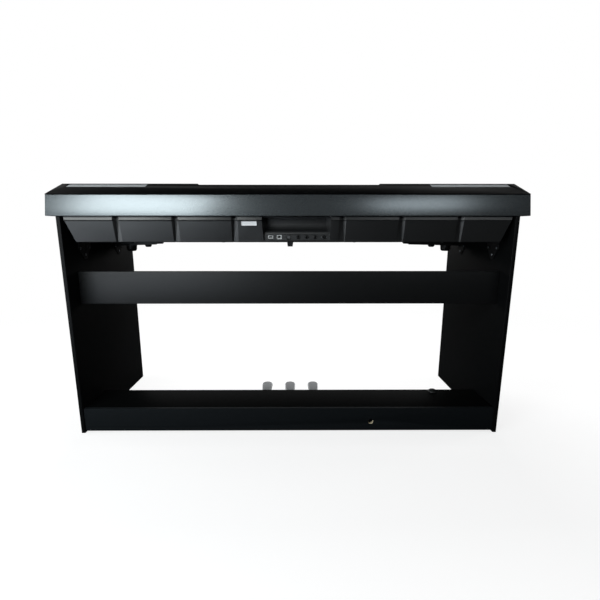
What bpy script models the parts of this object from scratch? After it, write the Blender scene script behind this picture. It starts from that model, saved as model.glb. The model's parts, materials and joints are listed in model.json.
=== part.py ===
"""Digital piano with 88 keys on a panel stand.

Metres, +Z up, +X to the player's right. The player sits at -Y and the rear of the piano is at +Y.
The origin is on the floor, under the middle of the piano.
"""

import math

import bmesh
import bpy
from mathutils import Matrix, Vector

# Overall sizes
WIDTH = 1.380
DEPTH = 0.470
FIT_GAP = 0.0003
EDGE_ROUND = 0.001

# Stand
STAND_HEIGHT = 0.6770
PANEL_THICKNESS = 0.012
PANEL_SETBACK = 0.0046
PANEL_FRONT_SETBACK = 0.0024
CABINET_OVERHANG = 0.0267
BRACE_LOW = 0.4104
BRACE_HEIGHT = 0.1015
BRACE_THICKNESS = 0.015
BRACE_SETBACK = 0.060

# Pedal box and pedals
BOX_CLEARANCE = 0.0062
BOX_HEIGHT = 0.0758
BOX_DEPTH = 0.141
BOX_BOARD = 0.012
BOX_SETBACK = 0.0075
CABLE_HOLE_X = -0.2595
CABLE_HOLE_Z = 0.0370
CABLE_HOLE_RADIUS = 0.0085
PEDAL_PITCH = 0.0855
PEDAL_REACH = 0.168
PEDAL_TIP_WIDTH = 0.038
PEDAL_NECK_WIDTH = 0.024
PEDAL_THICKNESS = 0.009
PEDAL_RISE = math.radians(3.4)
PEDAL_TRAVEL = math.radians(7.0)
AXLE_RADIUS = 0.004
AXLE_SETBACK = 0.080
AXLE_BELOW_BOX_TOP = 0.029
AXLE_CLEARANCE = 0.0003
SLOT_SIDE_CLEARANCE = 0.004

# Cabinet band: leaning rear board and end cheeks
BAND_HEIGHT = 0.0595
BAND_LEAN = 0.011
REAR_BOARD_THICKNESS = 0.015
SLIP_THICKNESS = 0.015
SLIP_ABOVE_CASE_BOTTOM = 0.0029
SLIP_ABOVE_BAND = 0.012
KEY_BLOCK_RISE = 0.040

# Hood
HOOD_WALL = 0.004
HOOD_LIP = 0.0015
HOOD_RISE = 0.0375
RIDGE_SETBACK = 0.0893
RIDGE_WIDTH = 0.008
HOOD_FRONT_RISE = 0.010
HOOD_NOSE = 0.006
FALL_STRIP_THICKNESS = 0.0028
REST_GROOVE_LENGTH = 0.557
REST_GROOVE_BEHIND_RIDGE = 0.0095
REST_GROOVE_AHEAD = 0.020
REST_GROOVE_DEPTH = 0.0115

# Speaker grilles and loudspeakers
GRILLE_LENGTH = 0.2345
GRILLE_WIDTH = 0.0225
GRILLE_THICKNESS = 0.0018
GRILLE_END_SETBACK = 0.027
GRILLE_BELOW_RIDGE = 0.020154
GRILLE_LEDGE = 0.002
GRILLE_SLOTS = 20
SPEAKER_LENGTH = 0.130
SPEAKER_WIDTH = 0.050
SPEAKER_DEPTH = 0.034
SPEAKER_BELOW_RIDGE = 0.028854

# Control panel
CONTROL_LENGTH = 0.420
CONTROL_WIDTH = 0.070
CONTROL_THICKNESS = 0.0025
CONTROL_LEDGE = 0.0035
CONTROL_BELOW_MIDDLE = 0.005211
BUTTON_WIDTH = 0.016
BUTTON_HEIGHT = 0.010
BUTTON_PROUD = 0.0026
BUTTON_TRAVEL = 0.0012
BUTTON_CLEARANCE = 0.0004
DISPLAY_LENGTH = 0.076
DISPLAY_WIDTH = 0.030
KNOB_RADIUS = 0.011
KNOB_HEIGHT = 0.012
VOLUME_SWEEP = math.radians(140.0)

# Keys
OCTAVE = 0.165
WHITE_KEYS = 52
KEY_GAP = 0.0010
KEY_TOP_ABOVE_BAND = 0.0243
WHITE_HEIGHT = 0.022
WHITE_VISIBLE = 0.150
WHITE_HEAD = 0.050
WHITE_WALL = 0.0022
BLACK_HEIGHT = 0.0120
BLACK_SKIRT = 0.019
BLACK_WIDTH = 0.0124
BLACK_TOP_WIDTH = 0.0097
BLACK_SLOPE = 0.006
KEY_FRONT_GAP = 0.0025
TAIL_BEHIND_FALL = 0.0795
COMB_RAIL = 0.016
COMB_THICKNESS = 0.0025
COMB_GAP = 0.0008
HINGE_WEB = 0.012
WHITE_TRAVEL = math.radians(2.3)
BLACK_TRAVEL = math.radians(2.6)

# Lower case
CASE_DROP = 0.0746
CASE_WALL = 0.003
CASE_SIDE_GAP = 0.0080
CASE_END_TAPER = 0.0225
CASE_REAR_SETBACK = 0.0085
LIP_HEIGHT = 0.009
LIP_FLARE = 0.0025
LIP_STEP = 0.0018
CASE_LEAN = 0.0125
GROOVE_PLACES = (0.1553, 0.3256, 0.4948)
GROOVE_WIDTH = 0.0190
GROOVE_DEPTH_TOP = 0.0100
GROOVE_DEPTH_LOW = 0.0055
GROOVE_SHIFT_TOP = 0.0022
GROOVE_SHIFT_LOW = 0.0066
RECESS_LEFT = -0.1225
RECESS_RIGHT = 0.0768
RECESS_FLOOR = 0.006
RECESS_DEPTH = 0.040
RECESS_DRAFT = 0.28
SCOOP_RADIUS = 0.022
JACK_FACE_HEIGHT = 0.0264
JACK_FACE_SETBACK = 0.0158

# Sockets on the main board: kind, place along X, width, and height or bore radius
SOCKETS = (
    ("box", 0.0525, 0.0140, 0.0085),
    ("box", 0.0276, 0.0140, 0.0115),
    ("round", 0.0006, 0.0150, 0.0065),
    ("round", -0.0282, 0.0120, 0.0033),
    ("round", -0.0528, 0.0120, 0.0033),
    ("round", -0.0780, 0.0120, 0.0033),
    ("round", -0.1045, 0.0120, 0.0031),
)
SOCKET_AXIS_HEIGHT = 0.0150
SOCKET_LENGTH = 0.018
SOCKET_PROUD = 0.0008
BOARD_DEPTH = 0.075
BOARD_THICKNESS = 0.0016

# Brackets and clamp knobs
BRACKET_THICKNESS = 0.002
BRACKET_WIDTH = 0.070
BRACKET_DROP = 0.055
BRACKET_LIP = 0.024
BRACKET_LIP_END = 0.019
BRACKET_LIP_ROUND = 0.006
BRACKET_TOE = 0.014
FRONT_BRACKET_REACH = {"left": 0.215, "right": 0.162}
BRACKET_STUD_INSET = 0.1152
BRACKET_STUD_RADIUS = 0.012
BRACKET_STUD_DROP = 0.0293
REAR_BRACKET_REACH = {"left": 0.060, "right": 0.060}
FRONT_BRACKET_SETBACK = 0.342
REAR_BRACKET_SETBACK = 0.113
CLAMP_INSET = {"left": 0.061, "right": 0.052}
CLAMP_RADIUS = 0.020
CLAMP_HEIGHT = 0.042
CLAMP_SHANK = 0.004
CLAMP_CLEARANCE = 0.0005
CLAMP_BITE = 0.012

# Levels and faces that several pieces share
REAR = DEPTH / 2
FRONT = -DEPTH / 2
HALF = WIDTH / 2
PANEL_OUTER = HALF - CABINET_OVERHANG
PANEL_INNER = PANEL_OUTER - PANEL_THICKNESS
PANEL_REAR = REAR - PANEL_SETBACK
BAND_LOW = STAND_HEIGHT + FIT_GAP
BAND_HIGH = BAND_LOW + BAND_HEIGHT
HOOD_LOW = BAND_HIGH + FIT_GAP
RIDGE_HIGH = HOOD_LOW + HOOD_LIP + HOOD_RISE
HOOD_REAR = REAR - BAND_LEAN
RIDGE_REAR = HOOD_REAR - RIDGE_SETBACK
RIDGE_FRONT = RIDGE_REAR - RIDGE_WIDTH
KEY_TOP = BAND_LOW + KEY_TOP_ABOVE_BAND
KEY_BOTTOM = KEY_TOP - WHITE_HEIGHT
SLIP_REAR = FRONT + SLIP_THICKNESS
KEY_FRONT = SLIP_REAR + KEY_FRONT_GAP
FALL = KEY_FRONT + WHITE_VISIBLE
TAIL_END = FALL + TAIL_BEHIND_FALL
PITCH = OCTAVE / 7
KEYS_HALF = WHITE_KEYS * PITCH / 2
CASE_LOW = BAND_LOW - CASE_DROP - FIT_GAP
CASE_HIGH = BAND_LOW - FIT_GAP
CASE_FLOOR = CASE_LOW + CASE_WALL
CASE_FACE = REAR - CASE_REAR_SETBACK
CASE_FRONT = SLIP_REAR + FIT_GAP
JACK_FACE = CASE_FACE - JACK_FACE_SETBACK
BOX_REAR = REAR - BOX_SETBACK
BOX_FRONT = BOX_REAR - BOX_DEPTH
BOX_TOP = BOX_CLEARANCE + BOX_HEIGHT
AXLE_HEIGHT = BOX_TOP - AXLE_BELOW_BOX_TOP

# Finishes: colour, roughness, metallic
FINISHES = {
    "panel": ((0.012, 0.012, 0.013), 0.55, 0.0),
    "band": ((0.055, 0.058, 0.062), 0.35, 0.0),
    "hood": ((0.014, 0.014, 0.015), 0.50, 0.0),
    "case": ((0.045, 0.047, 0.050), 0.55, 0.0),
    "white_key": ((0.86, 0.85, 0.82), 0.25, 0.0),
    "black_key": ((0.012, 0.012, 0.012), 0.35, 0.0),
    "chassis": ((0.10, 0.10, 0.105), 0.50, 0.0),
    "steel": ((0.30, 0.30, 0.31), 0.35, 1.0),
    "chrome": ((0.85, 0.86, 0.88), 0.12, 1.0),
    "grille": ((0.35, 0.35, 0.36), 0.45, 1.0),
    "cone": ((0.020, 0.020, 0.020), 0.80, 0.0),
    "board": ((0.02, 0.10, 0.05), 0.50, 0.0),
    "control": ((0.020, 0.020, 0.022), 0.30, 0.0),
    "button": ((0.25, 0.26, 0.27), 0.45, 0.0),
    "display": ((0.010, 0.012, 0.014), 0.10, 0.0),
    "rubber": ((0.05, 0.05, 0.05), 0.70, 0.0),
}


def clear_scene():
    for thing in list(bpy.data.objects):
        bpy.data.objects.remove(thing, do_unlink=True)


def finish_material(name):
    """The named finish as a Principled material, made once."""
    known = bpy.data.materials.get(name)
    if known:
        return known
    colour, roughness, metallic = FINISHES[name]
    made = bpy.data.materials.new(name)
    made.use_nodes = True
    shader = made.node_tree.nodes["Principled BSDF"]
    shader.inputs["Base Color"].default_value = (*colour, 1.0)
    shader.inputs["Roughness"].default_value = roughness
    shader.inputs["Metallic"].default_value = metallic
    return made


def piece(name, shape, finish, pivot=(0.0, 0.0, 0.0), smooth=False):
    """An object named for its node, from a bmesh in world coordinates, with its origin on the pivot."""
    bmesh.ops.recalc_face_normals(shape, faces=shape.faces)
    bmesh.ops.translate(shape, verts=shape.verts, vec=-Vector(pivot))
    mesh = bpy.data.meshes.new(name)
    shape.to_mesh(mesh)
    shape.free()
    mesh.materials.append(finish_material(finish))
    if smooth:
        mesh.shade_smooth()
        mesh.set_sharp_from_angle(angle=math.radians(35))
    thing = bpy.data.objects.new(name, mesh)
    thing.location = pivot
    bpy.context.scene.collection.objects.link(thing)
    return thing


def combine(shape, other, operation):
    """Joins another closed bmesh to this one, or cuts it away, and returns the result as a new bmesh."""
    parts = []
    for label, source in (("body", shape), ("tool", other)):
        bmesh.ops.recalc_face_normals(source, faces=source.faces)
        mesh = bpy.data.meshes.new(label)
        source.to_mesh(mesh)
        source.free()
        thing = bpy.data.objects.new(label, mesh)
        bpy.context.scene.collection.objects.link(thing)
        parts.append(thing)
    body, tool = parts
    modifier = body.modifiers.new("combine", "BOOLEAN")
    modifier.operation = operation
    modifier.solver = "EXACT"
    modifier.object = tool
    evaluated = body.evaluated_get(bpy.context.evaluated_depsgraph_get())
    result = bmesh.new()
    result.from_mesh(evaluated.to_mesh())
    evaluated.to_mesh_clear()
    for thing in parts:
        mesh = thing.data
        bpy.data.objects.remove(thing, do_unlink=True)
        bpy.data.meshes.remove(mesh)
    flat = math.radians(0.2)
    bmesh.ops.dissolve_limit(result, angle_limit=flat, verts=result.verts, edges=result.edges)
    return result


def join(shape, *others):
    for other in others:
        shape = combine(shape, other, "UNION")
    return shape


def cut(shape, *others):
    for other in others:
        shape = combine(shape, other, "DIFFERENCE")
    return shape


def round_edges(shape, edges, size, segments=1):
    bmesh.ops.bevel(
        shape, geom=edges, offset=size, offset_type="OFFSET", segments=segments, profile=0.5, affect="EDGES"
    )


def block(low, high, rounding=0.0):
    """A box between two corners, with its edges broken by the rounding."""
    shape = bmesh.new()
    bmesh.ops.create_cube(shape, size=1.0)
    for vert in shape.verts:
        vert.co = Vector([high[i] if vert.co[i] > 0 else low[i] for i in range(3)])
    if rounding:
        round_edges(shape, shape.edges, rounding)
    return shape


def extrude(outline, axis, low, high):
    """A prism: an outline in the plane across the axis, drawn out along it from low to high."""
    places = {
        "X": lambda point, along: (along, point[0], point[1]),
        "Y": lambda point, along: (point[0], along, point[1]),
        "Z": lambda point, along: (point[0], point[1], along),
    }
    shape = bmesh.new()
    start = [shape.verts.new(places[axis](point, low)) for point in outline]
    end = [shape.verts.new(places[axis](point, high)) for point in outline]
    shape.faces.new(start)
    shape.faces.new(end)
    for here in range(len(outline)):
        after = (here + 1) % len(outline)
        shape.faces.new((start[here], start[after], end[after], end[here]))
    bmesh.ops.recalc_face_normals(shape, faces=shape.faces)
    return shape


def arc(centre, radius, first, last, steps):
    """Points on a circle from one angle to another, in degrees."""
    points = []
    for step in range(steps + 1):
        angle = math.radians(first + (last - first) * step / steps)
        points.append((centre[0] + radius * math.cos(angle), centre[1] + radius * math.sin(angle)))
    return points


def rod(axis, centre, radius, low, high, steps=20):
    """A round bar along an axis, centred across it on the two other coordinates."""
    return extrude(arc(centre, radius, 0, 360 - 360 / steps, steps - 1), axis, low, high)


def turned(profile, steps):
    """A solid of revolution about Z from (radius, height) points that start and end on the axis."""
    shape = bmesh.new()
    rings = []
    for radius, height in profile:
        if radius == 0:
            rings.append([shape.verts.new((0.0, 0.0, height))])
        else:
            ring = arc((0, 0), radius, 0, 360 - 360 / steps, steps - 1)
            rings.append([shape.verts.new((x, y, height)) for x, y in ring])
    for near, far in zip(rings, rings[1:]):
        for here in range(steps):
            after = (here + 1) % steps
            corners = [near[here % len(near)], near[after % len(near)]]
            corners += [far[after % len(far)], far[here % len(far)]]
            shape.faces.new(list(dict.fromkeys(corners)))
    bmesh.ops.recalc_face_normals(shape, faces=shape.faces)
    return shape


def moved(shape, matrix):
    bmesh.ops.transform(shape, matrix=matrix, verts=shape.verts)
    return shape


def offset_line(points, distance):
    """An open line moved sideways by a distance, to the left of its direction, with mitred corners."""
    sides = []
    for start, end in zip(points, points[1:]):
        run = Vector(end) - Vector(start)
        run.normalize()
        sides.append(Vector((-run.y, run.x)))
    result = [Vector(points[0]) + sides[0] * distance]
    for point, before, after in zip(points[1:-1], sides, sides[1:]):
        middle = (before + after).normalized()
        result.append(Vector(point) + middle * (distance / middle.dot(before)))
    result.append(Vector(points[-1]) + sides[-1] * distance)
    return [tuple(point) for point in result]


def tub(outer_rings, inner_rings):
    """A walled vessel from rings of equal length: outer ones from the rim down, then inner ones."""
    shape = bmesh.new()
    outer = [[shape.verts.new(point) for point in ring] for ring in outer_rings]
    inner = [[shape.verts.new(point) for point in ring] for ring in inner_rings]
    strips = list(zip(outer, outer[1:])) + list(zip(inner, inner[1:])) + [(outer[0], inner[0])]
    for near, far in strips:
        for here in range(len(near)):
            after = (here + 1) % len(near)
            shape.faces.new((near[here], near[after], far[after], far[here]))
    shape.faces.new(outer[-1])
    shape.faces.new(inner[-1])
    bmesh.ops.recalc_face_normals(shape, faces=shape.faces)
    return shape


def slope_frame(corner, run, facing):
    """Axes on a slope: X along the piano, Y up the slope and Z out of it."""
    up = Vector((0.0, run[0], run[1])).normalized()
    along = Vector((facing, 0.0, 0.0))
    out = along.cross(up)
    matrix = Matrix((along, up, out)).transposed().to_4x4()
    matrix.translation = Vector((0.0, corner[0], corner[1]))
    return matrix


# Slopes of the hood: up the rear slope from its lip, and up the front slope from its nose
REAR_SLOPE = slope_frame((HOOD_REAR, HOOD_LOW + HOOD_LIP), (-RIDGE_SETBACK, HOOD_RISE), -1.0)
REAR_SLOPE_LENGTH = math.hypot(RIDGE_SETBACK, HOOD_RISE)
GRILLE_UP_SLOPE = REAR_SLOPE_LENGTH - GRILLE_BELOW_RIDGE
SPEAKER_UP_SLOPE = REAR_SLOPE_LENGTH - SPEAKER_BELOW_RIDGE
NOSE_HIGH = HOOD_LOW + HOOD_FRONT_RISE
FRONT_SLOPE_RUN = (RIDGE_FRONT - FALL - HOOD_NOSE, RIDGE_HIGH - NOSE_HIGH)
FRONT_SLOPE = slope_frame((FALL + HOOD_NOSE, NOSE_HIGH), FRONT_SLOPE_RUN, 1.0)
CONTROL_UP_SLOPE = math.hypot(*FRONT_SLOPE_RUN) / 2 - CONTROL_BELOW_MIDDLE


def add_side_panels():
    """Laminated boards that stand on the floor and carry the cabinet on their top edges."""
    for side, name in ((-1, "side_panel_left"), (1, "side_panel_right")):
        low_x, high_x = sorted((side * PANEL_INNER, side * PANEL_OUTER))
        low = (low_x, FRONT + PANEL_FRONT_SETBACK, 0.0)
        piece(name, block(low, (high_x, PANEL_REAR, STAND_HEIGHT), EDGE_ROUND), "panel")


def add_rear_brace():
    half = PANEL_INNER - FIT_GAP
    rear = REAR - BRACE_SETBACK
    low = (-half, rear - BRACE_THICKNESS, BRACE_LOW)
    piece("rear_brace", block(low, (half, rear, BRACE_LOW + BRACE_HEIGHT), EDGE_ROUND), "panel")


def pedal_places():
    return (("pedal_soft", -PEDAL_PITCH), ("pedal_sostenuto", 0.0), ("pedal_sustain", PEDAL_PITCH))


def pedal_height_at(distance):
    """Height of the lever's middle at a distance ahead of its axle."""
    return AXLE_HEIGHT + distance * math.tan(PEDAL_RISE)


def add_pedal_box():
    """Three boards between the side panels, with a cable hole in the rear one and pedal slots in front."""
    half = PANEL_INNER - FIT_GAP
    rear_low = BOX_REAR - BOX_BOARD
    rear_board = block((-half, rear_low, BOX_CLEARANCE), (half, BOX_REAR, BOX_TOP), EDGE_ROUND)
    centre = (CABLE_HOLE_X, CABLE_HOLE_Z)
    hole = rod("Y", centre, CABLE_HOLE_RADIUS, rear_low - 0.01, BOX_REAR + 0.01, 32)
    piece("pedal_box_rear", cut(rear_board, hole), "panel")

    top_low = BOX_TOP - BOX_BOARD
    top_board = block((-half, BOX_FRONT, top_low), (half, rear_low - FIT_GAP, BOX_TOP), EDGE_ROUND)
    piece("pedal_box_top", top_board, "panel")

    front_high = top_low - FIT_GAP
    front_board = block(
        (-half, BOX_FRONT, BOX_CLEARANCE), (half, BOX_FRONT + BOX_BOARD, front_high), EDGE_ROUND
    )
    far = BOX_REAR - AXLE_SETBACK - BOX_FRONT
    near = far - BOX_BOARD
    slot_low = pedal_height_at(far) - PEDAL_THICKNESS / 2 - far * math.sin(PEDAL_TRAVEL) - 0.003
    slot_high = min(pedal_height_at(near) + PEDAL_THICKNESS, front_high - 0.002)
    half_slot = PEDAL_NECK_WIDTH / 2 + SLOT_SIDE_CLEARANCE
    for _, place in pedal_places():
        low = (place - half_slot, BOX_FRONT - 0.01, slot_low)
        high = (place + half_slot, BOX_FRONT + 0.03, slot_high)
        front_board = cut(front_board, block(low, high))
    piece("pedal_box_front", front_board, "panel")


def add_pedals():
    """Chromed levers on one steel axle, which a carrier with four ears holds inside the pedal box."""
    axle = (BOX_REAR - AXLE_SETBACK, AXLE_HEIGHT)
    base_low = BOX_CLEARANCE + 0.002
    base_high = base_low + 0.003
    ear_outer = PEDAL_PITCH * 1.5 + 0.0015
    front = BOX_FRONT + BOX_BOARD + FIT_GAP
    rear = BOX_REAR - BOX_BOARD - FIT_GAP
    carrier = block((-ear_outer - 0.006, front, base_low), (ear_outer + 0.006, rear, base_high))
    ear = [
        (axle[0] - 0.013, base_low + 0.001),
        *arc(axle, 0.013, 180, 0, 8),
        (axle[0] + 0.013, base_low + 0.001),
    ]
    for place in (-1.5, -0.5, 0.5, 1.5):
        middle = place * PEDAL_PITCH
        carrier = join(carrier, extrude(ear, "X", middle - 0.0015, middle + 0.0015))
    bore = rod("X", axle, AXLE_RADIUS + AXLE_CLEARANCE, -ear_outer - 0.01, ear_outer + 0.01)
    piece("pedal_carrier", cut(carrier, bore), "steel")

    axle_bar = rod("X", axle, AXLE_RADIUS, -ear_outer - 0.003, ear_outer + 0.003)
    piece("pedal_axle", axle_bar, "steel", smooth=True)

    neck = PEDAL_NECK_WIDTH / 2
    tip = PEDAL_TIP_WIDTH / 2
    reach = PEDAL_REACH - tip
    right = [
        (neck, 0.012),
        (neck, -reach * 0.42),
        (neck * 1.12, -reach * 0.56),
        (tip * 0.90, -reach * 0.78),
    ]
    left = [(-x, y) for x, y in reversed(right)]
    outline = [*right, *reversed(arc((0, -reach), tip, 180, 360, 12)), *left]
    lever = extrude(outline, "Z", -PEDAL_THICKNESS / 2, PEDAL_THICKNESS / 2)
    rims = [edge for edge in lever.edges if abs(edge.verts[0].co.z - edge.verts[1].co.z) < 1e-6]
    round_edges(lever, rims, 0.002, 2)
    lever = moved(lever, Matrix.Rotation(-PEDAL_RISE, 4, "X"))
    lever = join(lever, rod("X", (0, 0), 0.0085, -neck - 0.001, neck + 0.001))
    lever = cut(lever, rod("X", (0, 0), AXLE_RADIUS + AXLE_CLEARANCE, -0.03, 0.03))
    for name, place in pedal_places():
        piece(name, lever.copy(), "chrome", smooth=True).location = (place, *axle)
    lever.free()


def bracket(side, setback, reach, hand=None):
    """A steel angle for one side of the stand: a cheek on the side panel and a shelf under the case.

    The angle of a hand has a flange along both edges of its shelf, a stud and the clamp screw's hole."""
    shelf_high = CASE_LOW - FIT_GAP
    shelf_low = shelf_high - BRACKET_THICKNESS
    wall = PANEL_INNER - FIT_GAP
    middle = REAR - setback
    near, far = middle - BRACKET_WIDTH / 2, middle + BRACKET_WIDTH / 2
    toe = (middle, shelf_low - BRACKET_DROP + BRACKET_TOE)
    shoulder = shelf_high - BRACKET_LIP if hand else shelf_low - BRACKET_DROP * 0.35
    cheek = [
        (near, shelf_high),
        (near, shoulder),
        *arc(toe, BRACKET_TOE, 200, 340, 6),
        (far, shoulder),
        (far, shelf_high),
    ]
    shape = extrude(cheek, "X", wall - BRACKET_THICKNESS, wall)
    shape = join(shape, block((wall - reach, near, shelf_low), (wall - 0.001, far, shelf_high)))
    if hand:
        end = wall - reach
        corner = (end + BRACKET_LIP_ROUND, shelf_high - BRACKET_LIP_END + BRACKET_LIP_ROUND)
        flange = [
            (wall - 0.001, shelf_high - 0.001),
            (end, shelf_high - 0.001),
            *arc(corner, BRACKET_LIP_ROUND, 180, 270, 4),
            (wall - 0.001, shelf_high - BRACKET_LIP),
        ]
        for edge in (near, far - BRACKET_THICKNESS):
            shape = join(shape, extrude(flange, "Y", edge, edge + BRACKET_THICKNESS))
        stud = [
            (0.0, -BRACKET_STUD_DROP),
            (BRACKET_STUD_RADIUS * 0.7, -BRACKET_STUD_DROP),
            (BRACKET_STUD_RADIUS, -BRACKET_STUD_DROP + BRACKET_STUD_RADIUS * 0.4),
            (BRACKET_STUD_RADIUS, -0.001),
            (0.0, -0.001),
        ]
        place = (PANEL_INNER - BRACKET_STUD_INSET, middle, shelf_high)
        shape = join(shape, moved(turned(stud, 14), Matrix.Translation(place)))
        place = (PANEL_INNER - CLAMP_INSET[hand], middle)
        hole = rod("Z", place, CLAMP_SHANK + CLAMP_CLEARANCE, shelf_low - 0.01, shelf_high + 0.01)
        shape = cut(shape, hole)
    return moved(shape, Matrix.Scale(side, 4, (1, 0, 0)))


def add_brackets():
    """Steel angles on the side panels: the case rests on them, and knobs clamp it to the front ones."""
    grip = [
        (0.0, -CLAMP_HEIGHT),
        (CLAMP_RADIUS * 0.60, -CLAMP_HEIGHT),
        (CLAMP_RADIUS * 0.79, -CLAMP_HEIGHT * 0.94),
        (CLAMP_RADIUS * 0.88, -CLAMP_HEIGHT * 0.82),
        (CLAMP_RADIUS * 0.95, -CLAMP_HEIGHT * 0.50),
        (CLAMP_RADIUS, 0.0),
        (CLAMP_SHANK, 0.0),
        (CLAMP_SHANK, BRACKET_THICKNESS + CLAMP_BITE),
        (0.0, BRACKET_THICKNESS + CLAMP_BITE),
    ]
    grip_high = CASE_LOW - BRACKET_THICKNESS - 2 * FIT_GAP
    for side, hand in ((-1, "left"), (1, "right")):
        front = bracket(side, FRONT_BRACKET_SETBACK, FRONT_BRACKET_REACH[hand], hand)
        piece(f"bracket_front_{hand}", front, "steel")
        rear = bracket(side, REAR_BRACKET_SETBACK, REAR_BRACKET_REACH[hand])
        piece(f"bracket_rear_{hand}", rear, "steel")
        knob = piece(f"clamp_knob_{hand}", turned(grip, 20), "rubber", smooth=True)
        place = side * (PANEL_INNER - CLAMP_INSET[hand])
        knob.location = (place, REAR - FRONT_BRACKET_SETBACK, grip_high)


def add_cabinet_band():
    """Rear board, end cheeks with their key blocks, and the slip in front of the keys."""
    front_low = REAR - REAR_BOARD_THICKNESS
    lean = [
        (REAR, BAND_LOW),
        (REAR - BAND_LEAN, BAND_HIGH),
        (front_low - BAND_LEAN, BAND_HIGH),
        (front_low, BAND_LOW),
    ]
    board = extrude(lean, "X", -HALF, HALF)
    round_edges(board, board.edges, EDGE_ROUND)
    piece("rear_board", board, "band")

    outline = [
        (front_low - FIT_GAP, BAND_LOW),
        (front_low - BAND_LEAN - FIT_GAP, BAND_HIGH),
        *arc((FRONT + 0.022, BAND_HIGH - 0.022), 0.022, 90, 180, 6),
        *arc((FRONT + 0.006, BAND_LOW + 0.006), 0.006, 180, 270, 3),
    ]
    for side, name in ((-1, "end_cheek_left"), (1, "end_cheek_right")):
        cheek = extrude(outline, "X", PANEL_INNER, HALF)
        key_block = block(
            (KEYS_HALF + 0.0016, KEY_FRONT, BAND_LOW + 0.0006),
            (PANEL_INNER + 0.01, FALL - 0.001, BAND_LOW + KEY_BLOCK_RISE),
        )
        cheek = join(cheek, key_block)
        if side < 0:
            cheek = moved(cheek, Matrix.Scale(-1, 4, (1, 0, 0)))
        piece(name, cheek, "band")

    slip_low = CASE_LOW + SLIP_ABOVE_CASE_BOTTOM
    slip_high = BAND_LOW + SLIP_ABOVE_BAND
    profile = [
        (SLIP_REAR, slip_low),
        (SLIP_REAR, slip_high),
        *arc((FRONT + 0.006, slip_high - 0.006), 0.006, 90, 180, 4),
        *arc((FRONT + 0.002, slip_low + 0.002), 0.002, 180, 270, 2),
    ]
    piece("key_slip", extrude(profile, "X", -PANEL_INNER + FIT_GAP, PANEL_INNER - FIT_GAP), "band")


def hood_profile():
    """The hood's outer line, from its rear lip over the ridge to its nose above the keys."""
    nose = (FALL + HOOD_NOSE, NOSE_HIGH - HOOD_NOSE)
    return [
        (HOOD_REAR, HOOD_LOW),
        (HOOD_REAR, HOOD_LOW + HOOD_LIP),
        (RIDGE_REAR, RIDGE_HIGH),
        (RIDGE_FRONT, RIDGE_HIGH),
        *arc(nose, HOOD_NOSE, 90, 180, 4),
        (FALL, HOOD_LOW),
    ]


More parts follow.
